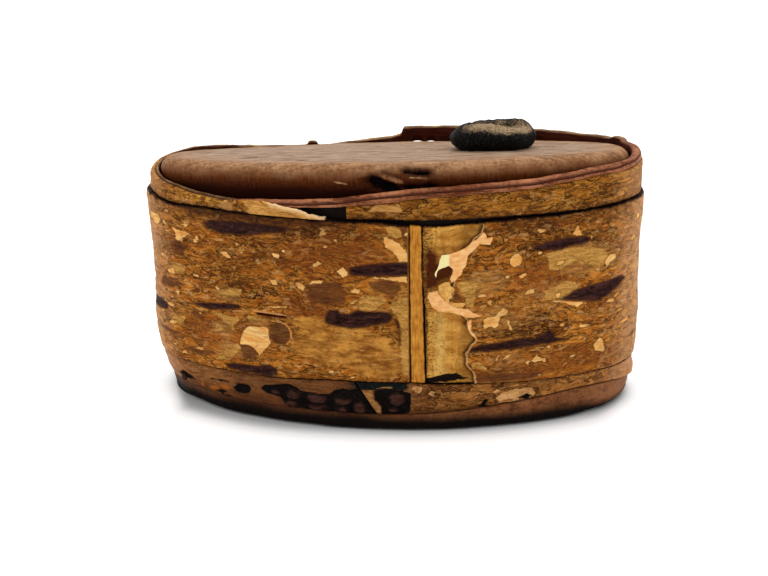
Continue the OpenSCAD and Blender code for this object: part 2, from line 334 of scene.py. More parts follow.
def lip_share(s):
    """1 where the rim has kept its folded lip, 0 where it is a bare edge."""
    s = fold(s)
    return ease(s, LIP_FROM - LIP_FADE, LIP_FROM + LIP_FADE) * (1 - ease(s, STEP_S - 0.3, STEP_S))


def lip_low(s):
    """Height of the folded lip's lower edge."""
    return rim(s) - course(LIP_H, s) - LIP_UNEVEN * (noise(s, 0 * s, 6, 31) - 0.5)


s = np.linspace(-ROUND / 2, ROUND / 2, TUBE_STEPS + 1)
lip, crest, edge_low, foot_top = lip_share(s), rim(s), lip_low(s), course(FOOT_TOP, s)
half = (TUBE_FACE - TUBE_INNER + lip * (0.4 + 0.6 * ease(s, 54, 34)) * (LIP_FACE - TUBE_FACE)) / 2
outer = TUBE_INNER + 2 * half
bead = EDGE_R + 0.45 * lip * ease(np.abs(s), 56, 38)
toe = FOOT_R + TOE_RIGHT * ease(np.abs(s - END_S), 26, 8)
# A row holds how far out it lies, its height, and how much of it is the rim's edge and the foot;
# the edge share is minus one on the outer face hidden behind the bands, which gets painted shade.
rows = [(TUBE_INNER, FOOT_CLEAR + 0 * s, 0, 0)]
for share in np.linspace(0.05, 0.98, 24):
    rows.append((TUBE_INNER, FOOT_CLEAR + (crest - bead - FOOT_CLEAR) * share, 0, 0))
for turn in np.linspace(0, math.pi, 11):
    height = crest - bead * (1 - math.sin(turn))
    rows.append((TUBE_INNER + half * (1 - math.cos(turn)), height, math.sin(turn) ** 2, 0))
for share in np.linspace(0.12, 0.94, 7):
    swell = LIP_SWELL * lip * math.sin(math.pi * share)
    rows.append((outer + swell, crest - bead + (edge_low - crest + bead) * share, 0.8, 0))
rows.append((outer - LIP_SWELL * lip, edge_low, 0.5, 0))
rows.append((TUBE_FACE - 0.02, edge_low + 0.05, -1, 0))
for height in (edge_low - 1, 25.0 + 0 * s, foot_top + 0.6, foot_top + 0.02):
    rows.append((TUBE_FACE, height, -1, 0))
rows.append((LIP_FACE - 0.25 * ease(s, 2, 9), foot_top, 0, 0.6))
for share in np.linspace(0, 0.95, 9):
    height = foot_top - 0.2 + (FOOT_CLEAR + toe - foot_top + 0.2) * share
    rows.append((LIP_FACE + FOOT_SWELL * math.sin(math.pi * share), height, 0, 1))
for turn in np.linspace(0, math.pi / 2, 9):
    rows.append((LIP_FACE - toe * (1 - math.cos(turn)), FOOT_CLEAR + toe * (1 - math.sin(turn)), 0, 1))
rows.append(rows[0])
out = np.array([row[0] + 0 * s for row in rows])
z = np.array([row[1] for row in rows])
edge_mark = np.array([[row[2]] for row in rows])
foot_mark = np.array([[row[3]] for row in rows])
S = np.broadcast_to(s, out.shape)
ripple = (noise(S, z + 200, 5, 41) - 0.5) * 0.35 + (noise(S, z + 200, 1.2, 51) - 0.5) * 0.12
out = out + ripple * np.clip(edge_mark + foot_mark, 0, 1)
z = z + (noise(S, out * 4 + 300, 3, 61) - 0.5) * 0.25 * (edge_mark > 0)
drawn = np.maximum(tuck(S, z), 0) * ease(out, TUBE_INNER + 0.05, TUBE_FACE)
out = np.maximum(out - drawn, TUBE_INNER)
x, y = around(S, out)
edge_share = np.clip(edge_mark * 1.4, 0, 1)
rolled_share = lip * ease(np.abs(s), 74, 56)
tube = skin("inner_tube_bark", x, y, z, {
    "lip": edge_share * rolled_share,
    "bare": edge_share * (1 - rolled_share),
    "foot": foot_mark + 0 * s,
    "hidden_face_shade": np.clip(-edge_mark, 0, 1) + 0 * s})

HOLES = (((3.75, 19.32, 45.6), 1.05, 0.32), ((6.55, 19.15, 45.68), 0.9, 0.28))
HOLE_AXIS = Vector((-0.07, 0.965, -0.255))
HOLE_L = 9


def pierce(piece):
    """Cuts the two worm holes that run down and out through the back of the wall."""
    for place, half_wide, half_high in HOLES:
        bpy.ops.object.select_all(action="DESELECT")
        bpy.ops.mesh.primitive_cylinder_add(vertices=24, radius=1, depth=HOLE_L)
        worm = bpy.context.object
        turn = HOLE_AXIS.to_track_quat("Z", "Y").to_matrix().to_4x4()
        size = Matrix.Diagonal((half_wide, half_high, 1, 1))
        worm.data.transform(Matrix.Scale(MM, 4) @ Matrix.Translation(place) @ turn @ size)
        bpy.context.view_layer.objects.active = piece
        cut = piece.modifiers.new("worm", "BOOLEAN")
        cut.operation = "DIFFERENCE"
        cut.object = worm
        bpy.ops.object.modifier_apply(modifier="worm")
        bpy.data.objects.remove(worm)


pierce(tube)
material, wire = finish("tube_bark", 0.05)
place = wire.place()
cloud = wire.noise(place, (110, 110, 160), 6)
fibre = wire.noise(place, (260, 260, 1600), 5, 0.6, 0.6)
speck = wire.noise(place, (1500, 1500, 1500), 3)
height = wire.part(place, 2)
# Painted shade: the inner face is painted far darker than the same bark rolled out on the lip.
inside = fibre.lift(0.3, 0.7).tint(paint(42, 12, 6), paint(70, 29, 16))
inside = cloud.lift(0.5, 0.7).tint(inside, paint(34, 11, 6))
rolled = (cloud * 0.6 + speck * 0.4).lift(0.35, 0.65).tint(paint(106, 54, 27), paint(180, 116, 80))
rolled = (fibre.lift(0.5, 0.62) * 0.85).tint(rolled, paint(76, 36, 17))
bare = (cloud * 0.4 + fibre * 0.6).lift(0.42, 0.64).tint(paint(92, 62, 36), paint(174, 138, 92))
bare = (speck.lift(0.6, 0.7) * 0.7).tint(bare, paint(176, 136, 84))
side = wire.part(place, 0)
foot = (cloud * 0.5 + speck * 0.5).lift(0.35, 0.65).tint(paint(96, 54, 28), paint(146, 92, 54))
foot = (fibre.lift(0.5, 0.65) * 0.6).tint(foot, paint(66, 33, 15))
foot = (side.lift(14 * MM, 0.0) * 0.55).tint(foot, paint(72, 38, 20))
# Painted sheen: the foot is painted paler towards the box's right end.
right = side.lift(32 * MM, 47 * MM)
foot = (right * 0.4).tint(foot, paint(172, 116, 76))
# Painted shade: the foot is near black towards its bottom, where it meets the table, reaching higher at
# the right.
foot_shade = height + cloud.sway(2 * MM) + right * (1.7 * MM)
foot = foot_shade.lift(4.3 * MM, 1.7 * MM).tint(foot, paint(11, 5, 3))
colour = wire.mark("lip").tint(inside, rolled)
colour = wire.mark("bare").tint(colour, bare)
colour = wire.mark("foot").tint(colour, foot)
# Painted shade: the outer face, seen only through the gaps between the bands, is near black.
colour = wire.mark("hidden_face_shade").tint(colour, paint(17, 9, 6))
colour = (speck.lift(0.62, 0.75) * 0.5).tint(colour, paint(40, 20, 12))
coat(wire, colour, 0.62 - cloud * 0.2, fibre + speck * 0.5, 0.12)
belongs(tube, material, "box", "tube_bark", "inner_tube")


# Pegs: six whittled pins of dark hardwood, driven through the foot of the wall into the bottom
# board. Only their blunt, slightly domed ends show, black at the left end and paler at the right.
PEG_D, PEG_Z, PEG_SWING, PEG_IN, PEG_OUT = 1.5, 4.5, 56, -7.6, -0.15
PEG_BEVEL, PEG_DOME = 0.2, 0.12


def join(pieces, name):
    """Makes one named piece of several."""
    bpy.ops.object.select_all(action="DESELECT")
    for piece in pieces:
        piece.select_set(True)
    bpy.context.view_layer.objects.active = pieces[0]
    bpy.ops.object.join()
    pieces[0].name = pieces[0].data.name = name
    return pieces[0]


material, wire = finish("peg_wood", 0.1)
place = wire.place()
rays = wire.noise(place, (2500, 2500, 2500), 4)
side = wire.part(place, 0)
colour = rays.lift(0.35, 0.7).tint(paint(24, 13, 9), paint(58, 36, 24))
colour = (side.lift(0.0, 20 * MM) * 0.8).tint(colour, paint(136, 88, 56))
coat(wire, colour, 0.8 - rays * 0.2, rays, 0.08)
pegs = []
for end in (0, 180):
    for swing in (-PEG_SWING, 0, PEG_SWING):
        bpy.ops.object.select_all(action="DESELECT")
        bpy.ops.mesh.primitive_cylinder_add(vertices=20, radius=PEG_D / 2, depth=PEG_OUT - PEG_IN)
        peg = bpy.context.object
        bpy.ops.object.mode_set(mode="EDIT")
        bpy.ops.mesh.bevel(offset=PEG_BEVEL, segments=3, affect="EDGES")
        bpy.ops.object.mode_set(mode="OBJECT")
        for vertex in peg.data.vertices:
            dome = 1 - (vertex.co.xy.length / (PEG_D / 2)) ** 2
            vertex.co.z += PEG_DOME * dome * (vertex.co.z > 0)
        to_end = Matrix.Rotation(math.radians(end), 4, "Z") @ Matrix.Translation((END_X, 0, PEG_Z))
        at_s = math.copysign(SIDE_L + END_L / 2, 90 - end) + END_R * math.radians(swing)
        reach = END_R + (PEG_IN + PEG_OUT) / 2 - float(tuck(at_s, PEG_Z))
        to_wall = Matrix.Rotation(math.radians(swing), 4, "Z") @ Matrix.Translation((reach, 0, 0))
        outward = Matrix.Rotation(math.radians(90), 4, "Y")
        peg.data.transform(Matrix.Scale(MM, 4) @ to_end @ to_wall @ outward)
        pegs.append(peg)
peg_ends = join(pegs, "peg_ends")
bpy.ops.object.shade_smooth()
belongs(peg_ends, material, "box", "peg_wood", "bottom_pegs")


# Lower hoop: a band of rough bark round the foot of the wall, its ends meeting in a slanting joint
# at the front. The outer skin has flaked off in a black, beaded patch left of the joint.
HOOP_INNER, HOOP_FACE = -1.2, -0.4
EDGE_DROP, EDGE_WIDE = 0.22, 0.35
PLY_COUNT, PLY_T = 6, 0.09
PATCH_NEAR = 2.0
LOW_TOP = (
    (-114, 9.0), (-50, 9.2), (-36, 9.0), (-22, 9.3), (-10, 10.1), (4.7, 10.2), (10, 9.7), (21, 9.4),
    (30, 9.1), (60, 9.1), (114, 9.0))
LOW_JOINT, LOW_LEAN, JOINT_GAP = -3.7, 3.7, 0.1
LOW_FOOT, LOW_H = 3.4, 6.4
BLACK_DEEP, BEAD_HIGH, CHIP_DEEP, CHIP_RIM, LOW_FLARE = 0.35, 0.6, 0.35, 0.25, 0.8
LOW_STEPS, LOW_ROWS = 760, 26


def band_grid(s, low, high, rows):
    """Rows of places from the upper edge of a band to its lower edge."""
    share = np.linspace(0, 1, rows)[:, None]
    return np.broadcast_to(s, (rows, len(s))), high + (low - high) * share


def band(name, S, Z, out, inner, marks):
    """Closed band of bark: its outer face from rows of places, a plain inner face and its edges."""
    def with_back(grid):
        """Rows of the outer face, with those of the inner face and the edges added."""
        return np.vstack([grid[-1:], grid[:1], grid, grid[-1:]])

    ends = np.minimum(Z[0] - Z, Z - Z[-1])
    out = out - EDGE_DROP * ease(ends, EDGE_WIDE, 0.0)
    inner = np.broadcast_to(inner, out.shape)
    face = np.vstack([inner[-1:], inner[:1], out, inner[-1:]])
    s, z = with_back(S), with_back(Z)
    x, y = around(s, face)
    marks = {mark: with_back(np.broadcast_to(values, Z.shape)) for mark, values in marks.items()}
    return skin(name, x, y, z, {"along": s, "up": z, **marks})


def oval(S, Z, s, z, half_s, half_z, turn=0.0):
    """Distance in mm inside the edge of an oval spot, turned by so many degrees."""
    c, d = math.cos(math.radians(turn)), math.sin(math.radians(turn))
    a, b = ((S - s) * c + (Z - z) * d) / half_s, ((Z - z) * c - (S - s) * d) / half_z
    return (1 - np.sqrt(a * a + b * b)) * min(half_s, half_z)


def streak(S, Z, left, left_z, right, right_z, half):
    """Distance in mm inside the edge of a long blunt streak between two places."""
    length = math.hypot(right - left, right_z - left_z)
    c, d = (right - left) / length, (right_z - left_z) / length
    t = ((S - left) * c + (Z - left_z) * d) / length
    t_on = np.clip(t, 0, 1)
    away = np.hypot(S - left - t_on * length * c, Z - left_z - t_on * length * d)
    return half * (1 - 0.7 * np.abs(2 * t_on - 1) ** 7) - away


def patch(S, Z, corners):
    """Distance in mm inside the edge of a torn patch with these corners."""
    along, up = zip(*corners)
    near = (S > min(along) - PATCH_NEAR) & (S < max(along) + PATCH_NEAR)
    near = near & (Z > min(up) - PATCH_NEAR) & (Z < max(up) + PATCH_NEAR)
    s, z = S[near], Z[near]
    away, inside = s + 1e9, s > 1e9
    for (a, b), (c, d) in zip(corners, corners[1:] + corners[:1]):
        t = np.clip(((s - a) * (c - a) + (z - b) * (d - b)) / ((c - a) ** 2 + (d - b) ** 2), 0, 1)
        away = np.minimum(away, np.hypot(s - a - t * (c - a), z - b - t * (d - b)))
        inside = inside ^ (((z < b) != (z < d)) & (s < a + (c - a) * (z - b) / (d - b + 1e-6)))
    depth = np.full(S.shape, -PATCH_NEAR)
    depth[near] = np.where(inside, away, -away)
    return depth


def most(fields):
    """Largest of several distances, kept within PATCH_NEAR mm of an edge."""
    return np.clip(np.max(list(fields), axis=0), -PATCH_NEAR, PATCH_NEAR)


def bark(name, dark, mid, light, fleck):
    """Flaky bark in thin plies: torn ply edges with painted shade and highlight, wavy scribbles with
    painted highlights on their lips, pale hairs and crumbs.
    """
    material, wire = finish(name, 0.03)
    flat = wire.flat(wire.mark("along"), wire.mark("up"))
    swirl = wire.node("TexNoise", {}, {"Vector": flat, "Scale": 0.4, "Detail": 4.0}, 1)
    lay = wire.node("VectorMath", {"operation": "MULTIPLY_ADD"}, {0: swirl, 1: (2.4, 1.5, 0), 2: flat})
    fine = wire.noise(lay, (0.9, 1.3, 1), 7, 0.62)
    cloud = wire.noise(lay, (0.1, 0.18, 1), 5)
    grain = wire.noise(lay, (0.3, 1.9, 1), 8, 0.65, 0.7)
    crumb = wire.noise(lay, (2.2, 3.0, 1), 5, 0.6)
    hair = wire.noise(lay, (0.7, 4.5, 1), 4)
    plate = wire.noise(lay, (0.17, 0.5, 1), 5, 0.55, 0.6)
    cell = wire.node("Mapping", {}, {"Vector": lay, "Scale": (0.8, 1.5, 1)})
    # A cell's own colour, times one to make a plain number of it.
    chip = wire.node("TexVoronoi", {}, {"Vector": cell, "Scale": 1.0}, 1) * 1.0
    stray = fine.sway(1.2) + chip.sway(0.4)
    ragged = wire.mark("ply") + fine.sway(1.1)
    tone = wire.node("TexWhiteNoise", {"noise_dimensions": "1D"}, {"W": wire.math("FLOOR", ragged)})
    past_edge = wire.math("FRACT", ragged)
    scribble_and_edge_shade = paint(56, 26, 9)
    # The glow mark adds a painted sheen towards the box's ends, and darker tone where a piece asks for
    # it.
    level = cloud.sway(1.5) + tone.sway(0.5) + grain.sway(2.5) + fine.sway(1.4) + wire.mark("glow")
    colour = level.lift(-0.75, 0.45).tint(dark, mid)
    colour = (level.lift(0.15, 0.85) * 0.8).tint(colour, light)
    colour = (hair.lift(0.5, 0.68) * 0.5).tint(colour, light)
    # Painted highlight: a pale line on the lip just beside each dark scribble.
    colour = ((plate + 0.02).lines(5, 0.17) * 0.45).tint(colour, light)
    colour = (plate.lines(5, 0.17) * 0.75).tint(colour, scribble_and_edge_shade)
    # Painted shade on one side of each torn ply edge and a painted highlight on the other.
    colour = (past_edge.lift(0.13, 0.02) * 0.8).tint(colour, scribble_and_edge_shade)
    colour = (past_edge.lift(0.86, 0.98) * 0.5).tint(colour, light)
    colour = (crumb.lift(0.41, 0.3) * 0.8).tint(colour, paint(46, 21, 8))
    colour = ((chip + fine.sway(0.8)).lift(0.8, 0.86) * fleck).tint(colour, paint(222, 170, 108))
    height = past_edge.lift(0.0, 0.2) * 0.7 + grain * 0.8 + crumb * 0.6 + plate.lines(5, 0.2) * -0.5
    return material, wire, lay, fine, grain, crumb, stray, height, colour


def plies(S, Z, seed):
    """How many plies of bark are left, as a smooth number that steps where a ply has torn off."""
    return PLY_COUNT * noise(S, Z, 6.5, seed, 2.2, 4)


def torn(ply):
    """Height of the torn plies, in mm."""
    return PLY_T * (np.floor(ply) + ease(ply - np.floor(ply), 0.0, 0.2))


def end_sheen(front, low, high):
    """How far the bark is lightened by a painted sheen: most at the box's two ends, fading out behind
    them.
    """
    away = np.abs(front)
    return ease(away, low, high) * (0.4 + 0.6 * ease(away, 72, 54)) * ease(away, 118, 80)


LOW_BLACK = (
    ((-30.8, 5.6), (-30, 6.5), (-27.8, 6.7), (-27, 6.1), (-27.2, 5.0), (-28.8, 4.6), (-30.5, 4.9)),
    ((-25, 6.3), (-24, 7.4), (-22, 7.6), (-21, 8.1), (-18.8, 8.3), (-17.2, 8.0), (-16.2, 7.1),
     (-13, 7.1), (-10.8, 6.9), (-9.5, 7.9), (-8, 8.5), (-4.6, 8.5), (-3.8, 6.9), (-2.7, 5.4),
     (-1.6, 3.6), (-4, 3.1), (-7, 3.3), (-10, 3.5), (-13, 3.2), (-16, 3.3), (-19, 3.6), (-20.5, 4.8),
     (-22, 5.4), (-24, 5.9)),
    ((-2.5, 8.4), (0, 8.5), (3.5, 8.6), (4.9, 8.0), (5.0, 5.5), (4.4, 3.9), (3, 3.2), (0, 2.9),
     (-0.7, 3.4), (-0.8, 4.9), (-2.1, 6.4)),
    ((16.6, 4.7), (18.2, 5.2), (19, 6.2), (19.6, 6.0), (19.3, 5.0), (20.5, 4.5), (19.2, 4.0),
     (18.4, 4.4)),
    ((25.2, 5.9), (26.6, 6.3), (28.4, 5.9), (27, 5.5)),
    ((-37.6, 5.9), (-36, 6.6), (-33, 6.9), (-32, 6.5), (-34.5, 6.1)),
    ((-36, 4.0), (-33.6, 4.7), (-32, 4.4), (-34, 3.7)), ((28.4, 5.5), (32, 5.4), (28.4, 5.1)),
    ((57.6, 4.7), (58.4, 5.5), (59.8, 5.3), (60, 4.7)),
    ((-46, 5.2), (-44, 6.2), (-41.5, 5.6), (-40, 4.9), (-42, 4.6), (-44.5, 4.4)),
    ((-33.8, 3.7), (-30.5, 3.5), (-32, 3.1)), ((10, 3.6), (18.5, 4.5), (14, 3.8)))
LOW_BEADS = (
    (-17.9, 6.0, 1.8, 1.2), (-13.2, 5.8, 2.3, 1.15), (-8.2, 5.6, 1.6, 1.0), (-4.9, 4.5, 1.4, 1.4),
    (-18.4, 4.2, 1.9, 0.8), (-13.2, 3.9, 2.3, 0.8), (2.3, 6.6, 1.8, 1.6), (-8.3, 4.0, 1.5, 0.7),
    (1.5, 4.2, 1.4, 0.6), (-21.6, 6.2, 1.2, 0.8))
LOW_TAN = (
    ((21, 6.3), (22, 7.3), (24, 7.7), (26.8, 7.9), (28.5, 7.2), (28.9, 6.2), (28, 5.5), (26.8, 6.3),
     (25.5, 6.0), (26, 4.8), (24.5, 4.8), (22, 4.3), (21, 4.5), (21.5, 5.5)),
    ((23.5, 8.4), (25, 8.8), (26.8, 8.4), (25, 8.5)),
    ((20.4, 7.5), (21.2, 8.1), (22.3, 8.0), (21.4, 7.6)),
    ((5.2, 9.0), (6.0, 9.6), (7.2, 9.2), (6.8, 8.2), (6.0, 7.8)),
    ((8.2, 7.8), (8.8, 8.4), (9.6, 8.1), (9.0, 7.5)), ((-25.8, 6.6), (-24.2, 7.2), (-25.2, 6.8)))
LOW_ORANGE = ((-38.7, 4.2, 0.5, 0.8, 0), (-35.6, 4.5, 1.6, 0.5, 10), (-33.1, 5.4, 1.2, 0.6, 0))
SLIVER = (
    ((-4.5, 8.4), (-2.5, 8.4), (-2.1, 6.4), (-0.8, 4.9), (-0.9, 3.6), (-1.6, 3.6), (-2.8, 5.4),
     (-3.8, 6.9)),
    ((-2.5, 8.6), (-0.5, 9.1), (1.5, 9.3), (1.5, 8.8), (-0.3, 8.8)))
TAB = (-9.2, 4.5, 8.3, 10.6)

s = np.linspace(LOW_JOINT + JOINT_GAP, LOW_JOINT - JOINT_GAP + ROUND, LOW_STEPS + 1)
low, high = course(FOOT_TOP, s) + 0.05, course(LOW_TOP, s) - 0.05
S, Z = band_grid(s, low, high, LOW_ROWS)
slant = LOW_LEAN * (0.5 - (Z - LOW_FOOT) / LOW_H)
from_joint = np.clip(np.minimum(S - S[:, :1], S[:, -1:] - S) / 4, 0, 1)
lean = slant * (1 - from_joint)
front = fold(S) + lean
ply = plies(S, Z, 71)
wobble = noise(S, Z, 1.6, 81) - 0.5
black = most(patch(front, Z, spot) for spot in LOW_BLACK) + wobble * 0.6
beads = most(oval(front, Z, *spot) for spot in LOW_BEADS)
chip = most(patch(front, Z, spot) for spot in LOW_TAN) + wobble * 0.4
orange = most(oval(front, Z, *spot) for spot in LOW_ORANGE)
sliver = most(patch(front, Z, spot) for spot in SLIVER)
tab_s, tab_z = np.minimum(front - TAB[0], TAB[1] - front) * 0.5, np.minimum(Z - TAB[2], TAB[3] - Z)
tab = np.minimum(tab_s, tab_z) + wobble * 0.4
past_joint = front - LOW_JOINT - slant
relief = torn(ply) - 0.3 + (noise(S, Z, 14, 91) - 0.5) * 0.4 + (noise(S, Z, 0.9, 95) - 0.5) * 0.12
relief = relief - BLACK_DEEP * ease(black, -0.1, 0.3) + BEAD_HIGH * ease(beads, -0.2, 0.7)
relief = relief - CHIP_DEEP * ease(chip, 0.05, 0.5) + CHIP_RIM * ease(np.abs(chip), 0.3, 0.05)
relief = relief + EDGE_DROP * ease(Z - low, EDGE_WIDE, 0.0) * ease(front, 8, 2)
relief = relief + LOW_FLARE * ease(np.abs(front - END_S), 14, 6) * ease(Z - low, 3.2, 0.2) - tuck(S, Z)
hoop = band("lower_hoop_bark", S + lean, Z, HOOP_FACE + relief, HOOP_INNER - tuck(S, Z), {
    "ply": ply, "black": black, "bead": beads, "chip": chip, "orange": orange, "sliver": sliver,
    "tab": np.clip(tab, -2, 2), "tabbed": ease(front, -8.5, -5.0),
    "joint": np.clip(np.abs(past_joint), 0, 3),
    # Painted sheen towards both ends, a little darker round the middle of the front.
    "glow": (0.25 * ease(front, -30, -46) + 0.15 * ease(front, 25, 45)
             - 0.1 * ease(np.abs(front - 8), 20, 8)),
    "end": end_sheen(front, 38, 52),
    "low": Z - low, "left": ease(front, 9, 3),
    "plum": ease(np.abs(front + 18), 16, 10), "shade": ease(np.abs(front - 15), 14, 8),
    "gap": np.minimum(Z - low + 3 * ease(front, 8, 4), high - Z)})
material, wire, lay, fine, grain, crumb, stray, height, colour = bark(
    "lower_hoop_bark", paint(84, 44, 16), paint(160, 100, 44), paint(196, 136, 72), 0.12)
smooth = grain.lift(0.3, 0.7).tint(paint(112, 66, 34), paint(166, 110, 64))
colour = (wire.mark("left") * 0.65).tint(colour, smooth)
# Painted shade: the hoop darkens towards its foot, on both sides of the joint.
near_foot = wire.mark("low") + stray * 1.6
colour = (near_foot.lift(3.2, 0.6) * wire.mark("left") * 0.75).tint(colour, paint(86, 47, 26))
colour = (near_foot.lift(2.0, 0.2) * wire.mark("shade") * 0.65).tint(colour, paint(62, 32, 14))
colour = ((wire.mark("plum") + stray * 0.8).lift(0.2, 1.0) * 0.5).tint(colour, paint(82, 44, 26))
# Painted sheen: paler towards the box's ends.
colour = ((wire.mark("end") + stray * 0.6).lift(0.1, 1.0) * 0.62).tint(colour, paint(206, 150, 106))
colour = (wire.mark("orange") + stray * 0.9).lift(-0.1, 0.2).tint(colour, paint(168, 92, 32))
chipped = wire.mark("up").lift(5.2, 6.6).tint(paint(164, 106, 46), paint(206, 148, 84))
chipped = grain.lift(0.35, 0.65).tint(chipped, paint(242, 188, 124))
colour = (wire.mark("chip") + stray * 0.7).lift(-0.06, 0.1).tint(colour, chipped)
slate = crumb.lift(0.4, 0.7).tint(paint(10, 13, 14), paint(40, 42, 38))
colour = ((wire.mark("tab") + stray * 0.5).lift(-0.1, 0.25) * wire.mark("tabbed")).tint(colour, slate)
blackened = crumb.lift(0.4, 0.75).tint(paint(7, 5, 5), paint(34, 24, 20))
colour = (wire.mark("black") + stray * 0.6).lift(-0.12, 0.14).tint(colour, blackened)
purple = (crumb * 0.5 + grain * 0.5).lift(0.35, 0.65).tint(paint(46, 25, 20), paint(92, 58, 46))
colour = ((wire.mark("bead") + stray * 1.1).lift(0.0, 0.7) * 0.85).tint(colour, purple)
split = grain.lift(0.3, 0.7).tint(paint(122, 74, 34), paint(190, 138, 76))
colour = (wire.mark("sliver") + stray * 0.2).lift(-0.05, 0.1).tint(colour, split)
colour = wire.mark("joint").lift(0.35, 0.15).tint(colour, paint(8, 5, 4))
# Painted shade: near black along the band's top edge under the jacket, and on the left half along its
# foot.
colour = (wire.mark("gap") + fine.sway(0.3)).lift(0.2, 0.02).tint(colour, paint(20, 9, 5))
coat(wire, colour, 0.62 - fine * 0.2, height, 0.18)
belongs(hoop, material, "box", "hoop_bark", "lower_hoop")


# Outer jacket: a sheet of flaky outer bark wrapped round the tube and butted at the front. Dark
# streaks cross it, plies have flaked off in pale spots, and a patch beside the seam has peeled.
JACKET_T = 1.2
SEAM_LEFT, SEAM_RIGHT = 4.8, 7.3
JACKET_STEPS, JACKET_ROWS = 770, 112
JACKET_TOP = (
    (-114, 41.5), (-60, 42.0), (-50, 42.0), (-42, 41.3), (-32, 41.7), (-6, 41.7), (0, 41.5),
    (4.4, 41.0), (7.5, 40.6), (12, 40.8), (24, 41.5), (37, 41.6), (47, 42.1), (54, 42.0), (70, 41.6),
    (114, 41.5))
LENTICELS = (
    ((-35.2, 38.7), (-33, 39.6), (-27, 40.1), (-20, 40), (-16, 39.7), (-19, 39), (-23, 38.2),
     (-27, 37.5), (-31, 37.3), (-34, 37.8)),
    ((-39.2, 21.8), (-36.5, 22.6), (-33, 23), (-28.5, 23.5), (-27.9, 23.1), (-28.4, 22.5), (-32, 21.9),
     (-35, 21.4), (-38, 21.5)),
    ((-32.2, 10.6), (-28, 11.2), (-25, 11.4), (-22.5, 11.9), (-21, 11.2), (-21, 10), (-23, 9.5),
     (-28, 9.6), (-31.5, 9.9)),
    ((-6, 32.9), (-4.5, 33.4), (-1, 33.9), (2.6, 34.1), (4.9, 34), (4.9, 31.7), (2, 31.6), (-2, 31.5),
     (-5, 31.4), (-6, 31.8)),
    ((-11, 21.8), (-10.8, 23.3), (-10, 24.4), (-8.3, 24.5), (-8, 23.9), (-6.3, 23.9), (-4.8, 24.7),
     (-3, 24.5), (0.7, 24.5), (1.8, 24), (1.6, 23), (0.7, 22.3), (-3, 21.5), (-6, 21), (-8.5, 21.3)),
    ((15.5, 16.9), (18, 17.4), (22, 17.9), (25, 18.4), (28, 18.1), (30.3, 18.6), (30.8, 19.6),
     (31.8, 18.6), (32.4, 17.6), (35, 16.8), (31, 16.6), (25.5, 16.4), (20.5, 16.1), (15.8, 16.2)),
    ((27.4, 35.9), (30, 36.6), (34, 37.1), (38, 36.9), (38.9, 36.3), (38.4, 35.7), (33, 35),
     (28.5, 35.1)),
    ((33.4, 25.3), (36, 26.4), (40, 27.1), (46.4, 27.8), (47.6, 27), (46, 26), (43, 24.3), (41.2, 23.5),
     (38, 24.2), (35, 24.6)),
    ((1.9, 23.4), (2.7, 22.6), (3.1, 21), (3.1, 18), (2.8, 18), (2.8, 21), (2.4, 22.4)))
BROWN = (
    ((-48.7, 24.2), (-47, 26), (-43, 26.1), (-40.3, 25.4), (-43, 24.7), (-46, 23.7)),
    ((-49.5, 15), (-46, 15.6), (-41.5, 15.2), (-44, 14.5)),
    ((-42.7, 12.2), (-40, 12.8), (-35, 12.9), (-34.2, 12.2), (-37, 11.5), (-41, 11.4)),
    ((-39.7, 19.9), (-36.2, 19.9), (-36.6, 19.2), (-39.6, 19.3)),
    ((16.5, 10.6), (19, 11.4), (24, 11), (29, 11.1), (30, 10.2), (24, 9.9), (17.5, 9.9)),
    ((48.8, 14.3), (51, 14.9), (53.5, 14.5), (51, 13.9)),
    ((-14.4, 27.5), (-13.5, 29.2), (-11, 30), (-7.8, 29.8), (-6.8, 28.3), (-7.2, 25.8), (-10.5, 25.5),
     (-13.3, 25.8)),
    ((-2.9, 30.5), (-1.5, 30.4), (0.7, 30.8), (3.2, 30), (3.2, 29), (1.7, 26.8), (0.7, 27.8), (-2, 29)),
    ((12.9, 28.5), (13.8, 28.1), (14.1, 27.4), (15, 26.6), (14, 26.3), (13, 26.7), (11.9, 26.6),
     (12.3, 27.4)),
    ((12, 30.8), (13.3, 30.5), (13.1, 29.5), (12.3, 29.7)),
    ((-28.5, 15.2), (-26, 15.5), (-24.9, 14.2), (-25.6, 12.4), (-28, 12.2)),
    ((3.3, 41), (4.4, 41), (4.4, 38), (3.7, 38.2)),
    ((-43.5, 33.8), (-41, 34.2), (-39.5, 33.3), (-41, 31.3), (-43, 31.2)))
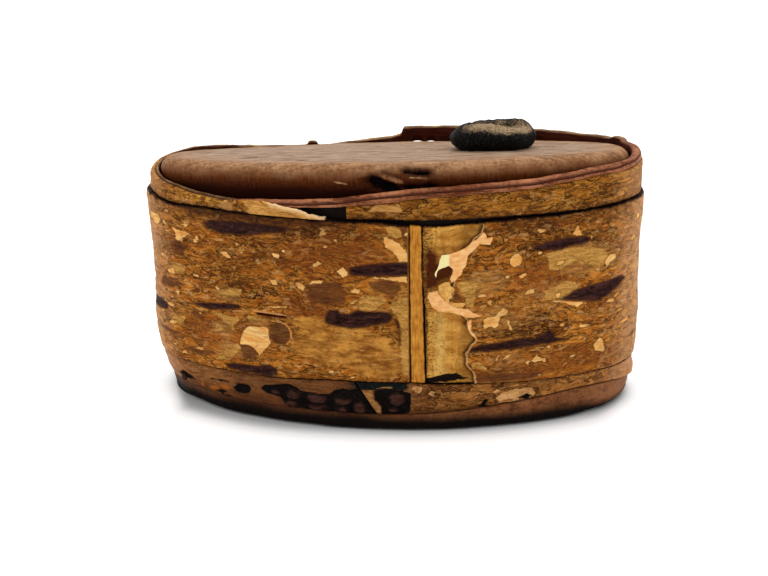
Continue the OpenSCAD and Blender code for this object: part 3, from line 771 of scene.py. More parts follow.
PALE = (
    ((-50.8, 37.3), (-50, 38.3), (-46.8, 38.6), (-46.2, 37.6), (-47.3, 36.3), (-49, 36.5)),
    ((-45.1, 38), (-43.9, 37), (-45.6, 36.9)),
    ((-42.9, 37), (-41.7, 36.4), (-38.5, 36.2), (-40, 35.1), (-40.6, 35), (-40.5, 34.2), (-42.1, 34.6),
     (-41.9, 35.4)),
    ((-40.5, 37.7), (-38.6, 38), (-39.4, 37.3)), ((-38, 35.1), (-36.1, 35.1), (-37.5, 34.5)),
    ((-31.8, 33.5), (-30.4, 33.9), (-29.2, 32.4), (-30.9, 32.7)),
    ((-29, 36), (-27.4, 35.6), (-28.2, 35.2)), ((-38.8, 28.1), (-36.7, 28), (-37.7, 27.4)),
    ((-46.1, 20.6), (-45, 20.9), (-44, 20.5), (-44.6, 20.1)),
    ((-43.5, 23.5), (-42.3, 23.8), (-42.7, 22.7)),
    ((-45.6, 16.5), (-45.1, 17.1), (-43.2, 17.3), (-43.7, 16.7)),
    ((-48.4, 18.4), (-47.7, 18.9), (-46.7, 18.3)), ((-45, 12.5), (-43.5, 12.7), (-44.2, 12.2)),
    ((-45.4, 27.1), (-45, 28), (-43.5, 28.3), (-43.2, 27)),
    ((-28.8, 15.3), (-28.3, 16.5), (-27.5, 18.5), (-26.5, 19.3), (-23.2, 19.6), (-22.4, 19.4),
     (-22.3, 17.5), (-22, 16.5), (-23.5, 14.8), (-24.5, 13.4), (-25.1, 14.5), (-26.4, 15.4),
     (-27.5, 15.4)),
    ((-22, 24), (-18, 24.6), (-18.4, 24.1), (-21, 23.7)),
    ((-21.5, 29.4), (-20.2, 29.4), (-20, 28.6), (-21, 28.5)),
    ((-22.2, 35.2), (-20.9, 36.1), (-21.2, 35.4)),
    ((-16.7, 29.2), (-15.5, 29.4), (-14.4, 28.8), (-14.9, 27.7), (-16, 28.4)),
    ((-14.2, 29), (-13, 30), (-10.7, 30.2), (-11.5, 29.5), (-12.8, 29.5)),
    ((-13.1, 33.1), (-12, 33.8), (-10.9, 33.7), (-11.7, 33), (-12.7, 32.6)),
    ((-8.4, 32), (-7.3, 33), (-6.3, 32), (-6.5, 31.3), (-7.3, 31)),
    ((-6.1, 28.3), (-5.2, 28.9), (-4.1, 28.8), (-4.5, 28.1)),
    ((-5.9, 33.7), (-4.6, 33.2), (-5.6, 33.2)),
    ((0.2, 39.3), (2, 38.4), (3.2, 37.6), (4.4, 36.2), (4.5, 34.3), (3, 34.3), (2.6, 35.5), (1.7, 36.5),
     (0.5, 37)),
    ((-2, 31.2), (4.4, 31.5), (4.4, 30.3), (1, 30.9)),
    ((23, 33.7), (23.5, 34.7), (24.7, 35), (25.6, 34), (25.2, 32.7), (24, 32.4), (23.2, 32.7)),
    ((22.1, 30.9), (23.2, 30.8), (22.7, 30.2)), ((19, 26.3), (19.9, 26.3), (19.7, 25.4), (19, 25.6)),
    ((26, 26.9), (26.7, 27.7), (27.9, 28), (27.9, 27)), ((28, 39.5), (30, 38.9), (28.7, 38.6)),
    ((18.3, 21.3), (18.4, 22.5), (19, 23.1), (20.5, 23.1), (21.2, 24), (22, 24.7), (23, 24.2),
     (23, 23.4), (21.6, 23), (21.1, 21.2), (20.2, 20.4), (20, 21.1), (19.2, 21), (18.7, 20.6)),
    ((22.6, 22.3), (23.1, 22.2), (23.9, 20), (23.3, 20.4)),
    ((20.2, 13.2), (21.2, 15.2), (21.9, 15.6), (20.9, 13.8)),
    ((22, 14.2), (22.8, 15.1), (23.8, 15.3), (23.1, 14.4)),
    ((27.7, 13.2), (28.7, 14.5), (29.2, 13.9), (30.6, 13.5), (29.5, 13)),
    ((35.1, 37.6), (36.2, 39.3), (36.7, 37.9), (37.2, 37.1), (36, 37.1)),
    ((36.6, 41.4), (37.9, 40.6), (37.2, 40.6)), ((38.6, 37), (39.5, 36.5), (39.1, 35.6), (39, 36.3)),
    ((43, 32.2), (43.5, 32.6), (44.7, 32.4), (44.6, 31.4), (43.5, 31), (42.7, 30.1), (42.2, 31)),
    ((45, 33.5), (45.9, 33), (45.2, 32.8)), ((48.5, 40.6), (49.9, 40.3), (48.8, 40.1)),
    ((50.5, 39.5), (52, 38), (51.2, 37.6), (50.4, 38.4)),
    ((32.2, 26.3), (33.1, 26.4), (33, 25.5), (32.4, 25.6)),
    ((44.5, 23.7), (45.2, 24.4), (47.2, 24.8), (45.5, 23.8)), ((43.7, 19.6), (45, 19.6), (44.5, 19.1)),
    ((36.9, 18.9), (37.5, 19.5), (39, 19.3), (40, 18.9), (38, 18.8)),
    ((45.6, 18.2), (49, 18.8), (49, 18.2), (46.5, 17.9)),
    ((40.5, 14.7), (41, 15.4), (41.9, 16), (42.7, 15.1), (43.2, 13.2), (42.7, 12.9), (41, 13.4)),
    ((31.7, 21.5), (32.7, 21), (32.2, 20.8)), ((29, 24.3), (30, 24.6), (29.5, 23.8)),
    ((29.1, 10.6), (30.2, 10.3), (29.3, 10)), ((48.8, 34.1), (50, 35.2), (51, 34.3), (49.6, 33.8)),
    ((30.2, 25.2), (33.7, 24.8), (38, 23.9), (36.6, 23.1), (34, 24.2)))
TAN = (
    ((-44.2, 18.5), (-41, 18.7), (-42, 17.2), (-45.6, 16.5)),
    ((-45, 28), (-41.4, 29.7), (-40.4, 28.4), (-42.7, 27.7)),
    ((-34.2, 25.4), (-30, 26.4), (-27.5, 26.7), (-28, 25)),
    ((-34.6, 20.7), (-33.5, 21), (-30, 20.6), (-28.7, 21.2), (-28.3, 20), (-30, 19), (-29.8, 18),
     (-31.7, 19.5)),
    ((-34, 19), (-31.7, 17.7), (-33.7, 17.2)),
    ((-34.2, 11.2), (-33, 12.5), (-30.3, 14.4), (-29.2, 15.3), (-28.6, 14.6), (-29.8, 13), (-31, 11.7)),
    ((-27.2, 20.8), (-26.5, 21.6), (-20, 21.5), (-20.5, 20.9)),
    ((-4.5, 25.5), (-4.4, 26.7), (-3, 27.7), (0.5, 27.6), (0.6, 26.7), (-1, 25), (-2.7, 24.4),
     (-4, 24.7)),
    ((1, 25.5), (1.7, 26.5), (4.6, 27.5), (4.8, 11.8), (3.4, 12), (3.1, 17), (3.1, 20), (2.9, 23),
     (2.1, 24.2)),
    ((0.2, 41), (2.5, 41.1), (3.2, 40.2), (3.5, 38.6), (1.5, 39.2)),
    ((13.3, 30), (16, 30.4), (18.5, 29.7), (18, 28.9), (16.7, 28.7), (16.6, 26.7), (16.2, 25),
     (15.2, 25.5), (15, 27), (14, 28.2)),
    ((16, 14), (17.5, 14.1), (19.5, 12.8), (19, 12.2), (16.6, 13)),
    ((29.9, 27), (31.2, 27.9), (34.2, 28.6), (36.6, 27.7), (36.5, 27), (33.7, 25.5), (30.2, 25.3)),
    ((30, 34.5), (35, 35), (40, 34.6), (42.2, 33.8), (43, 32.2), (41.5, 30.5), (41, 29), (39.2, 31.2),
     (36, 32.4), (33, 31), (31, 31.3)))
OLIVE = (
    (-42.6, 28.3, 3, 1.2), (-31, 25.2, 4, 1.8), (-29.5, 13.8, 5, 1.8), (-32, 18, 3, 2),
    (16, 28.8, 3.2, 2.2), (38, 32.5, 8, 4.2), (33, 26.5, 4, 2.6), (19, 30, 5, 3),
    (-24.5, 20.6, 3.4, 1.3))
PEELED = (
    (-8, 17.4, 11.5, 4.6), (-1, 14.0, 5.5, 3.4), (0.5, 29.5, 3.6, 1.6), (-13, 21.5, 5, 1.6),
    (3.6, 25, 0.9, 14))
PEEL_EDGE = (
    (9.2, 16.6), (11.3, 16.6), (12.2, 16.3), (13.5, 15.4), (16, 15.3), (17.5, 16.0), (18.5, 17.0),
    (20, 16.5), (21.5, 15.5), (22.5, 15.6), (24.4, 13.6), (25.5, 12.6), (28.8, 12.6), (32.7, 13.4),
    (36.0, 14.4), (37.4, 15.6), (39.0, 17.4), (42, 18.6))
SLIT = (-24.9, 22.2, -18.6, 22.1, 0.36)
SLIT_LIP = (-25.5, 22.8, -18.4, 22.6, 0.3)
CURL_S, CURL_Z, CURL_R = -20.0, 18.7, 2.3
REDDER = ((-9, 35, 14, 5), (-32, 16, 12, 5), (34, 12, 20, 4), (30, 30, 10, 4), (-14, 24, 6, 4))
DARKER = (
    (-28, 35, 13, 6.5), (-10, 38, 16, 4.5), (-30, 27, 10, 5), (-44, 33, 7, 3), (28, 39, 15, 3.5),
    (28, 36, 7, 6), (29, 20.5, 6, 5), (22, 11.5, 9, 3), (-14, 26, 7, 2.5), (2, 12.5, 8, 3.5))
# Where the curls shade the peeled bed: painted shadow.
CURL_SHADOW = (
    (7.6, 35.6), (8.6, 36.6), (9.6, 35.4), (10, 34), (11.8, 34.4), (13, 33.6), (12.8, 31), (10.3, 30),
    (9.9, 29), (8.2, 28.8), (7.6, 27))
SHADOW = (
    (7.2, 10.8), (9, 11.0), (11, 11.6), (13.5, 11.8), (14.6, 11.1), (16, 10.6), (10, 10), (7.2, 10))
PALE_DEEP, DARK_DEEP, TAN_DEEP, UNDER_DEEP = 0.1, 0.2, 0.12, 0.62
CURL_HIGH, CURL_DEEP, SLIT_DEEP, SLIT_HIGH = 0.4, 0.3, 0.5, 0.4
draws = np.random.default_rng(7)


def strewn_streaks(first, last):
    """Ends and half widths of dark streaks, drawn freely between two places along the wall."""
    starts = zip(np.linspace(first, last, 11), draws.uniform(11, 40, 11))
    return [(at, up, at + draws.uniform(5, 15), up + draws.uniform(-0.8, 0.8), draws.uniform(0.6, 1.1))
            for at, up in starts]


def strewn_flakes(count, along, up, half_s, half_z):
    """Places, half sizes and turns of flaked ovals, each number drawn freely from its span."""
    spans = (along, up, half_s, half_z, (-30, 30))
    return [[draws.uniform(*span) for span in spans] for _ in range(count)]


def wash(S, Z, spots):
    """1 in the middle of the nearest of several soft ovals, 0 at its edge and less outside."""
    return np.max([oval(S, Z, *spot) / min(spot[2:]) for spot in spots], axis=0)


s = np.linspace(SEAM_RIGHT, SEAM_LEFT + ROUND, JACKET_STEPS + 1)
low, high = course(LOW_TOP, s) + 0.08, course(JACKET_TOP, s) + 0.45 * (noise(s, 0 * s, 2.5, 101) - 0.5)
S, Z = band_grid(s, low, high, JACKET_ROWS)
frayed = 0.7 * ease(Z, 30, 22) + 0.4 * (noise(0 * S, Z, 2.2, 105) - 0.5)
S = S + frayed * ease(S, SEAM_RIGHT + 2.5, SEAM_RIGHT)
front = fold(S)
behind = strewn_streaks(-108, -60) + strewn_streaks(56, 100)
scatter = strewn_flakes(190, (-114, 114), (10, 41), (0.2, 0.7), (0.1, 0.28))
scatter += strewn_flakes(36, (52, 176), (11, 40), (0.8, 2.4), (0.6, 1.5))
ply = plies(S, Z, 111)
wobble = noise(S, Z, 2.2, 121) - 0.5
dark = [patch(front, Z, spot) for spot in LENTICELS]
dark += [streak(front, Z, *spot) + wobble for spot in behind]
dark = most(dark) + wobble * 0.35
brown = most(patch(front, Z, spot) for spot in BROWN) + wobble * 0.5
yellow = most(patch(front, Z, spot) for spot in TAN) + wobble * 0.5
peeled = np.where(front > SEAM_LEFT, -1, np.clip(wash(front, Z, PEELED), -1, 1))
strewn = most(oval(fold(front - spot[0]), Z, 0, *spot[1:]) for spot in scatter) + wobble * 0.6
pale = most(patch(front, Z, spot) for spot in PALE) + wobble * 0.3
pale = np.maximum(pale, strewn - 1.5 * ease(peeled, -0.1, 0.1))
olive = np.maximum(wash(front, Z, OLIVE), (noise(S, Z, 12, 131, 1.8) - 0.62) * 3)
gloom = wash(front, Z, DARKER)
under = np.clip(np.interp(Z, *zip(*PEEL_EDGE)) - front, -2, 12) + wobble * 1.1
under = np.where((front > SEAM_LEFT) & (front < 40), under, -2)
curl = oval(front, Z, CURL_S, CURL_Z, CURL_R, CURL_R)
slit = streak(front, Z, *SLIT)
slit_lip = streak(front, Z, *SLIT_LIP)
ring = ease(np.abs(curl + 0.05), 0.2, 0.06) * ease(front + 0.4 * (Z - CURL_Z), CURL_S - 0.5, CURL_S + 0.8)
ring = np.maximum(ring, ease(slit_lip, -0.1, 0.15))
relief = torn(ply) - 0.3 + (noise(S, Z, 26, 141) - 0.5) * 0.7 + (noise(S, Z, 0.8, 151) - 0.5) * 0.1
relief = relief - PALE_DEEP * ease(pale, -0.1, 0.25) - DARK_DEEP * ease(dark, -0.1, 0.3)
relief = relief - TAN_DEEP * ease(yellow, -0.1, 0.25)
relief = relief * (1 - 0.7 * ease(peeled, 0, 0.4))
relief = relief + CURL_HIGH * ease(curl, -0.15, 0.35) - CURL_DEEP * ease(curl, 0.5, 2.0)
relief = relief - SLIT_DEEP * ease(slit, -0.1, 0.2) + SLIT_HIGH * ease(slit_lip, -0.2, 0.2)
bared = relief * (1 - ease(under, -0.1, 0.3)) - UNDER_DEEP * ease(under, -0.15, 0.25)
relief = np.where(under > -0.5, bared, relief)
jacket = band("outer_jacket_bark", S, Z, relief - tuck(S, Z), -JACKET_T - tuck(S, Z), {
    "ply": ply, "dark": dark, "pale": pale, "yellow": yellow, "brown": brown,
    "olive": np.clip(olive, -1, 1), "peeled": peeled, "red": np.clip(wash(front, Z, REDDER), -1, 1),
    "under": under, "curl": np.clip(curl, -2, 2), "ring": ring, "slit": slit,
    "top": high - Z, "base": Z - low,
    "shade": ease(front, 4, -14) * ease(front, -54, -34) + 0.6 * ease(np.abs(front - 34), 17, 11),
    # Painted sheen towards both ends, and darker in the DARKER patches.
    "glow": 0.3 * ease(np.abs(front), 40, 56) - 0.5 * ease(gloom, -0.1, 0.7),
    "end": end_sheen(front, 37, 54), "shade_pocket": patch(front, Z, CURL_SHADOW), "shadow": patch(front, Z, SHADOW)})

material, wire, lay, fine, grain, crumb, stray, height, colour = bark(
    "jacket_bark", paint(78, 33, 8), paint(172, 98, 27), paint(226, 155, 66), 0.42)
warm = wire.noise(lay, (0.25, 0.5, 1), 6)
across, up = wire.part(lay, 0), wire.part(lay, 1)
colour = ((wire.mark("red") + stray * 0.6).lift(-0.1, 0.5) * 0.4).tint(colour, paint(140, 72, 28))
# Painted sheen: paler towards the box's ends.
colour = ((wire.mark("end") + stray * 0.8).lift(0.1, 1.1) * 0.62).tint(colour, paint(208, 158, 112))
drab = (grain + crumb.sway(0.5)).lift(0.3, 0.7).tint(paint(126, 80, 36), paint(202, 150, 84))
colour = ((wire.mark("olive") + stray * 0.7).lift(0.05, 0.4) * 0.5).tint(colour, drab)
smooth = warm.lift(0.35, 0.65).tint(paint(138, 80, 24), paint(214, 148, 64))
gritty = crumb.lift(0.44, 0.3) * across.lift(212, 226) * up.lift(21, 15)
smooth = (gritty * 0.9).tint(smooth, paint(84, 48, 16))
smooth = (grain.lift(0.52, 0.66) * 0.5).tint(smooth, paint(226, 166, 90))
smooth = (fine.lift(0.46, 0.34) * 0.6).tint(smooth, paint(116, 66, 20))
colour = (wire.mark("peeled") + stray * 0.45).lift(0.0, 0.22).tint(colour, smooth)
stained = grain.lift(0.3, 0.7).tint(paint(72, 36, 20), paint(116, 66, 36))
colour = ((wire.mark("brown") + stray * 0.9).lift(-0.3, 0.3) * 0.8).tint(colour, stained)
tan = (grain * 0.6 + crumb * 0.4).lift(0.34, 0.66).tint(paint(160, 106, 38), paint(230, 176, 92))
colour = ((wire.mark("yellow") + stray * 0.8).lift(-0.15, 0.15) * 0.85).tint(colour, tan)
flaked = wire.mark("pale") + fine.sway(0.6) + crumb.sway(0.5)
colour = (flaked.lift(-0.3, -0.05) * 0.4).tint(colour, paint(84, 46, 18))
cream = (warm * 0.5 + grain * 0.3 + crumb * 0.2).lift(0.36, 0.64)
colour = flaked.lift(-0.08, 0.12).tint(colour, cream.tint(paint(238, 160, 72), paint(255, 208, 132)))
hollow = grain.lift(0.3, 0.7).tint(paint(84, 46, 20), paint(134, 84, 44))
colour = wire.mark("curl").lift(0.1, 0.3).tint(colour, hollow)
# Painted highlight on the curl's raised right rim and on the raised lip above the slit.
colour = wire.mark("ring").lift(0.3, 0.8).tint(colour, paint(214, 150, 88))
colour = (wire.mark("slit") + fine.sway(0.3)).lift(-0.05, 0.1).tint(colour, paint(70, 20, 12))
lens = wire.mark("dark") + fine.sway(0.8) + grain.sway(0.8)
colour = (lens.lift(-0.4, 0.05) * 0.7).tint(colour, paint(70, 36, 20))
corky = (grain * 0.6 + fine * 0.4).lift(0.4, 0.66).tint(paint(22, 7, 11), paint(78, 46, 42))
colour = (lens.lift(-0.08, 0.3) * 0.95).tint(colour, corky)
bed = warm.lift(0.32, 0.68).tint(paint(192, 124, 44), paint(238, 176, 84))
bed = (wire.noise(lay, (1.6, 0.12, 1), 5).lift(0.45, 0.65) * 0.5).tint(bed, paint(160, 104, 36))
ridge = across.lift(10.0, 11.4) * across.lift(13.2, 11.8) * up.lift(26, 23)
bed = (ridge * 0.5).tint(bed, paint(244, 200, 112))
sooty = (crumb + across.lift(12.0, 8.0) * 0.14).lift(0.58, 0.68)
bed = (sooty * 0.75).tint(bed, paint(50, 30, 12))
# Painted shadow under the curls, dark red.
bed = ((wire.mark("shade_pocket") + stray * 0.8).lift(-0.9, 0.7) * 0.95).tint(bed, paint(76, 24, 10))
bed = (across.lift(14.5, 16.5) * 0.5).tint(bed, paint(120, 72, 22))
edge = wire.mark("under") + stray * 0.5
colour = (edge.lift(-0.45, -0.15) * edge.lift(0.1, 0.0)).tint(colour, paint(212, 162, 104))
colour = edge.lift(-0.02, 0.08).tint(colour, bed)
colour = (wire.mark("shadow") + stray * 0.5).lift(-0.2, 0.1).tint(colour, paint(22, 11, 6))
# Painted shade along the inside of the bed's torn edge, below the outer plies.
colour = (edge.lift(0.02, 0.1) * edge.lift(0.9, 0.15) * 0.8).tint(colour, paint(56, 28, 12))
shaded = (wire.mark("top") + stray * 1.5).lift(4.2, 0.5) * wire.mark("shade")
colour = (shaded * 0.85).tint(colour, paint(50, 24, 15))
# Painted shade: near black along the jacket's top and bottom edges, where it meets the hoops.
colour = (wire.mark("top") + fine.sway(0.8)).lift(0.42, 0.0).tint(colour, paint(26, 12, 7))
colour = (wire.mark("base") + fine.sway(0.4)).lift(0.25, 0.0).tint(colour, paint(22, 12, 7))
lowered = 1 - flaked.lift(-0.1, 0.1) * 0.6 - lens.lift(0, 0.2) * 0.8
coat(wire, colour, 0.66 - fine * 0.25, height + lowered, 0.18)
belongs(jacket, material, "box", "jacket_bark", "outer_jacket")


# Curls: tongues of the jacket's outer ply that have sprung away from the peeled patch beside the seam.
# Each is a torn leaf, thin as paper, standing off the wall with its pale inner face folded out.
CURL_T, CURL_OFF, CURL_RAGGED = 0.16, 0.14, 0.3
FOLD_S, FOLD_DROP = 11.9, 0.7
# For each leaf: where it leaves the wall, where it stands off most and by how much, whether it is
# folded over at FOLD_S, and whether it shows the darker inner ply.
LEAF_STANDS = (
    (17.5, 12.0, 1.2, 1, 0), (14.5, 10.5, 0.6, 0, 1), (17.0, 9.5, 0.9, 0, 0), (17.5, 15.5, 0.35, 0, 0))
LEAVES = (
    ((10.6, 35.8), (12, 36.1), (15, 36.9), (16, 37.9), (17, 38.3), (18.1, 39.5), (18.6, 39.2),
     (18.8, 38.5), (19.8, 38.5), (19.4, 37.1), (17.5, 37.4), (16.5, 36.5), (15.2, 35.4), (15, 33.6),
     (14.4, 33), (14, 32), (13, 31.1), (12.2, 30.7), (12.1, 31.4), (12.5, 33), (12.4, 33.4),
     (11.8, 33.9), (10, 33), (9.6, 31.5), (9.4, 32), (9.9, 33.5)),
    ((10.1, 30), (11.2, 30.6), (12, 30.6), (12.1, 29.8), (12.9, 29.1), (12.4, 28.3), (12.5, 27.7),
     (11.9, 27), (12, 26.5), (13.3, 26.3), (15, 26), (14.3, 24.9), (12.5, 25.6), (11.2, 26.6),
     (10.2, 28), (10.1, 29)),
    ((8.1, 28), (8.4, 28.7), (9.9, 29), (10.1, 28.3), (11.2, 26.8), (12.5, 25.8), (14.2, 25.1),
     (15.5, 25), (16.6, 24), (18, 23.4), (16.5, 23.1), (15.5, 23.2), (14, 24), (12.5, 24.6),
     (10.2, 25.1), (9, 25.7), (8.4, 27)),
    ((15.4, 22.6), (16.1, 22.9), (16.1, 21.6), (15.9, 20.8), (16.7, 19.9), (17.1, 18.6), (16.6, 19.4),
     (15.9, 20.2), (15.4, 21.3)))
curls = []
for outline, (root, tip, stand, folded, inner) in zip(LEAVES, LEAF_STANDS):
    bpy.ops.object.select_all(action="DESELECT")
    bpy.ops.mesh.primitive_circle_add(vertices=len(outline), fill_type="NGON")
    leaf = bpy.context.object
    for vertex, (along, up) in zip(leaf.data.vertices, outline):
        vertex.co = (along, up, 0)
    bpy.ops.object.mode_set(mode="EDIT")
    bpy.ops.mesh.select_all(action="SELECT")
    bpy.ops.mesh.quads_convert_to_tris()
    bpy.ops.mesh.subdivide(number_cuts=5)
    bpy.ops.object.mode_set(mode="OBJECT")
    flat = np.empty(len(leaf.data.vertices) * 3)
    leaf.data.vertices.foreach_get("co", flat)
    S, Z = flat.reshape(-1, 3)[:, 0], flat.reshape(-1, 3)[:, 1]
    ragged_s, ragged_z = noise(S, Z, 0.9, 311) - 0.5, noise(S, Z, 0.9, 321) - 0.5
    S, Z = S + CURL_RAGGED * ragged_s, Z + CURL_RAGGED * ragged_z
    out = CURL_OFF + stand * ease(S, root, tip) + 0.3 * (noise(S, Z, 2.5, 331) - 0.5)
    out = out - FOLD_DROP * ease(S, FOLD_S, FOLD_S - 2.5) * folded
    x, y = around(S, out)
    leaf.data.vertices.foreach_set("co", np.stack([x, y, Z], axis=-1).ravel() * MM)
    wedge = ease(S, FOLD_S + 0.15, FOLD_S - 0.15) * folded
    note(leaf, {"along": S, "up": Z, "wedge": wedge, "inner": inner}, S.shape)
    sheet = leaf.modifiers.new("sheet", "SOLIDIFY")
    sheet.thickness = CURL_T * MM
    sheet.offset = 0
    bpy.ops.object.modifier_apply(modifier="sheet")
    bpy.ops.object.mode_set(mode="EDIT")
    bpy.ops.mesh.select_all(action="SELECT")
    bpy.ops.mesh.normals_make_consistent(inside=False)
    bpy.ops.object.mode_set(mode="OBJECT")
    curls.append(leaf)
bark_curls = join(curls, "bark_curls")
bpy.ops.object.shade_smooth_by_angle(angle=math.radians(40))
material, wire = finish("curl_bark", 0.05)
lay = wire.flat(wire.mark("along"), wire.mark("up"))
fine = wire.noise(lay, (0.8, 1.0, 1), 6, 0.6)
thread = wire.noise(lay, (0.5, 3.5, 1), 5)
crumb = wire.noise(lay, (3, 4, 1), 4)
colour = (fine * 0.6 + thread * 0.4).lift(0.36, 0.64).tint(paint(240, 164, 92), paint(255, 204, 136))
inner_ply = (fine * 0.6 + crumb * 0.4).lift(0.36, 0.64).tint(paint(206, 142, 64), paint(246, 194, 106))
colour = wire.mark("inner").tint(colour, inner_ply)
# The folded wedge shows the pale inner face, made lighter still by a painted highlight.
colour = wire.mark("wedge").tint(colour, paint(255, 240, 172))
colour = (crumb.lift(0.38, 0.28) * 0.5).tint(colour, paint(150, 92, 44))
coat(wire, colour, 0.6 - fine * 0.2, thread + crumb * 0.4, 0.1)
belongs(bark_curls, material, "box", "jacket_bark")


# Seam strip: a narrow slip of smooth ochre under-bark, cut a little wider at its foot and let in
# between the jacket's two edges. Painted shade darkens both of its sides.
STRIP_LEFT, STRIP_RIGHT, STRIP_FLARE = 4.9, 7.05, 0.5
STRIP_STEPS, STRIP_ROWS = 14, 112
s = np.linspace(STRIP_LEFT, STRIP_RIGHT, STRIP_STEPS + 1)
S, Z = band_grid(s, course(LOW_TOP, s) + 0.15, course(JACKET_TOP, s) + 0.1, STRIP_ROWS)
S = S + (noise(0 * S, Z, 5, 161) - 0.5) * 0.2
S = S + STRIP_FLARE * (41 - Z) / 30 * (S - STRIP_LEFT) / (STRIP_RIGHT - STRIP_LEFT)
rounding = np.minimum(S - S[:, :1], S[:, -1:] - S)
relief = -0.15 * ease(rounding, 0.3, 0.0) + (noise(S, Z, 2, 171, 0.5) - 0.5) * 0.08 - 0.05
strip = band("seam_strip_bark", S, Z, relief, -JACKET_T, {"side": rounding})
material, wire = finish("strip_bark", 0.1)
lay = wire.flat(wire.mark("along"), wire.mark("up"))
fine = wire.noise(lay, (1.2, 0.5, 1), 7, 0.6)
thread = wire.noise(lay, (4.5, 0.25, 1), 5)
dust = wire.noise(lay, (5, 5, 1), 3)
colour = (fine * 0.6 + thread * 0.4).lift(0.35, 0.65).tint(paint(168, 98, 22), paint(224, 154, 56))
colour = (dust.lift(0.4, 0.3) * 0.7).tint(colour, paint(76, 44, 16))
# Painted shade along both sides, where the strip meets the jacket.
colour = (wire.mark("side") + fine.sway(0.5)).lift(0.2, 0.02).tint(colour, paint(58, 30, 11))
coat(wire, colour, 0.58 - fine * 0.2, thread + dust * 0.4, 0.1)
belongs(strip, material, "box", "strip_bark", "seam_strip")


# Upper hoop: a band of bark between the jacket and the rolled rim. Its joint at the front has sprung
# open, and the end left of it has torn to a pale, fibrous point that stands off the wall.
HOOP_RIGHT, TORN_TIP, TEAR_L = -6.4, -10.3, 21.0
TEAR_TEETH, TEAR_OUT, TIP_OUT = 0.6, 0.45, 0.25
TEAR_TOP = (
    (-36, 43.7), (-31, 43.9), (-26.8, 44.2), (-22.6, 44.5), (-18.7, 44.0), (-14.9, 43.3), (-10.3, 42.1))
HOOP_STEPS, HOOP_ROWS = 760, 24
HOOP_LIFT = (
    (-114, 0.2), (-60, 0.2), (-45, 0.15), (-12, 0.15), (-6, 0.2), (4, 0.8), (8, 1.2), (14, 0.9),
    (22, 0.5), (30, 0.3), (60, 0.2), (114, 0.2))
HOOP_TAN = (
    ((-40.3, 42), (-40.1, 42.7), (-37.7, 42.7), (-37.6, 42)),
    ((-43.4, 42.4), (-42.6, 42.9), (-42.2, 42.4)),
    ((-32.3, 42.6), (-31, 43.3), (-29.8, 44), (-29.4, 43.5), (-27.5, 43.8), (-28.5, 43), (-28.3, 42.2),
     (-31, 42.1)),
    ((-27.4, 42.2), (-27, 42.8), (-26.5, 42.2)),
    ((-24.1, 42.5), (-23.5, 43.1), (-22.9, 42.2), (-23.6, 42.1)), ((9, 43.2), (11.8, 42.6), (10, 42.4)),
    ((33.4, 43.1), (34.4, 43.6), (33.9, 43)), ((41.5, 43.2), (43.5, 42.7), (42.4, 42.5)),
    ((45.1, 43.6), (45.7, 44.1), (46.1, 43.5)), ((-2.4, 43.6), (-1, 44.8), (3.2, 45), (3.6, 43.6)),
    ((25.2, 43.2), (25.9, 43.1), (25.5, 42.8)), ((29.4, 43.1), (30.2, 43), (29.7, 42.8)))
s = np.linspace(HOOP_RIGHT, TORN_TIP + ROUND, HOOP_STEPS + 1)
lip = lip_share(s)
from_tip = s[-1] - s
in_front = ease(from_tip, TEAR_L, TEAR_L - 3)
full = lip_low(s) * lip + (rim(s) - 0.2) * (1 - lip) - 0.05
teeth = TEAR_TEETH * (noise(s, 0 * s, 0.7, 181) - 0.5) * ease(from_tip, 13, 11)
high = full + (course(TEAR_TOP, s, 0.8) + teeth - full) * in_front
low = course(JACKET_TOP, s) + course(HOOP_LIFT, s) + 0.2 * (noise(s, 0 * s, 2, 185) - 0.5)
high = np.maximum(high, low + 0.05)
S, Z = band_grid(s, low, high, HOOP_ROWS)
front = fold(S)
ply = plies(S, Z, 191)
wobble = noise(S, Z, 1.8, 201) - 0.5
tan_spots = most(patch(front, Z, spot) for spot in HOOP_TAN) + wobble * 0.4
tip = ease(from_tip, 13.5, 10.0)
torn_face = (ease(from_tip, 18.5, 12.5) - 0.5) * 2 + wobble * 1.8
relief = torn(ply) - 0.3 + (noise(S, Z, 18, 211) - 0.5) * 0.5 + (noise(S, Z, 0.9, 221) - 0.5) * 0.12
relief = relief - tuck(S, Z) - 0.1 * ease(tan_spots, -0.1, 0.25)
relief = relief + TEAR_OUT * in_front + tip * TIP_OUT * ease(high - Z, 1.2, 0.0)
inner = HOOP_INNER - tuck(S, Z) + (LIP_FACE - HOOP_INNER + 0.02) * in_front * ease(Z, low, low + 1.0)
hoop = band("upper_hoop_bark", S, Z, HOOP_FACE + relief, inner, {
    "ply": ply, "tan": tan_spots, "torn": torn_face, "foot": Z - low, "top": high - Z + 3 * (1 - tip),
    # Painted sheen towards the box's ends, most at the left.
    "end": end_sheen(front, 38, 52),
    "glow": 0.35 * ease(front, -20, -38) + 0.1 * ease(front, 20, 50)})
material, wire, lay, fine, grain, crumb, stray, height, colour = bark(
    "upper_hoop_bark", paint(70, 32, 8), paint(156, 94, 27), paint(210, 146, 62), 0.2)
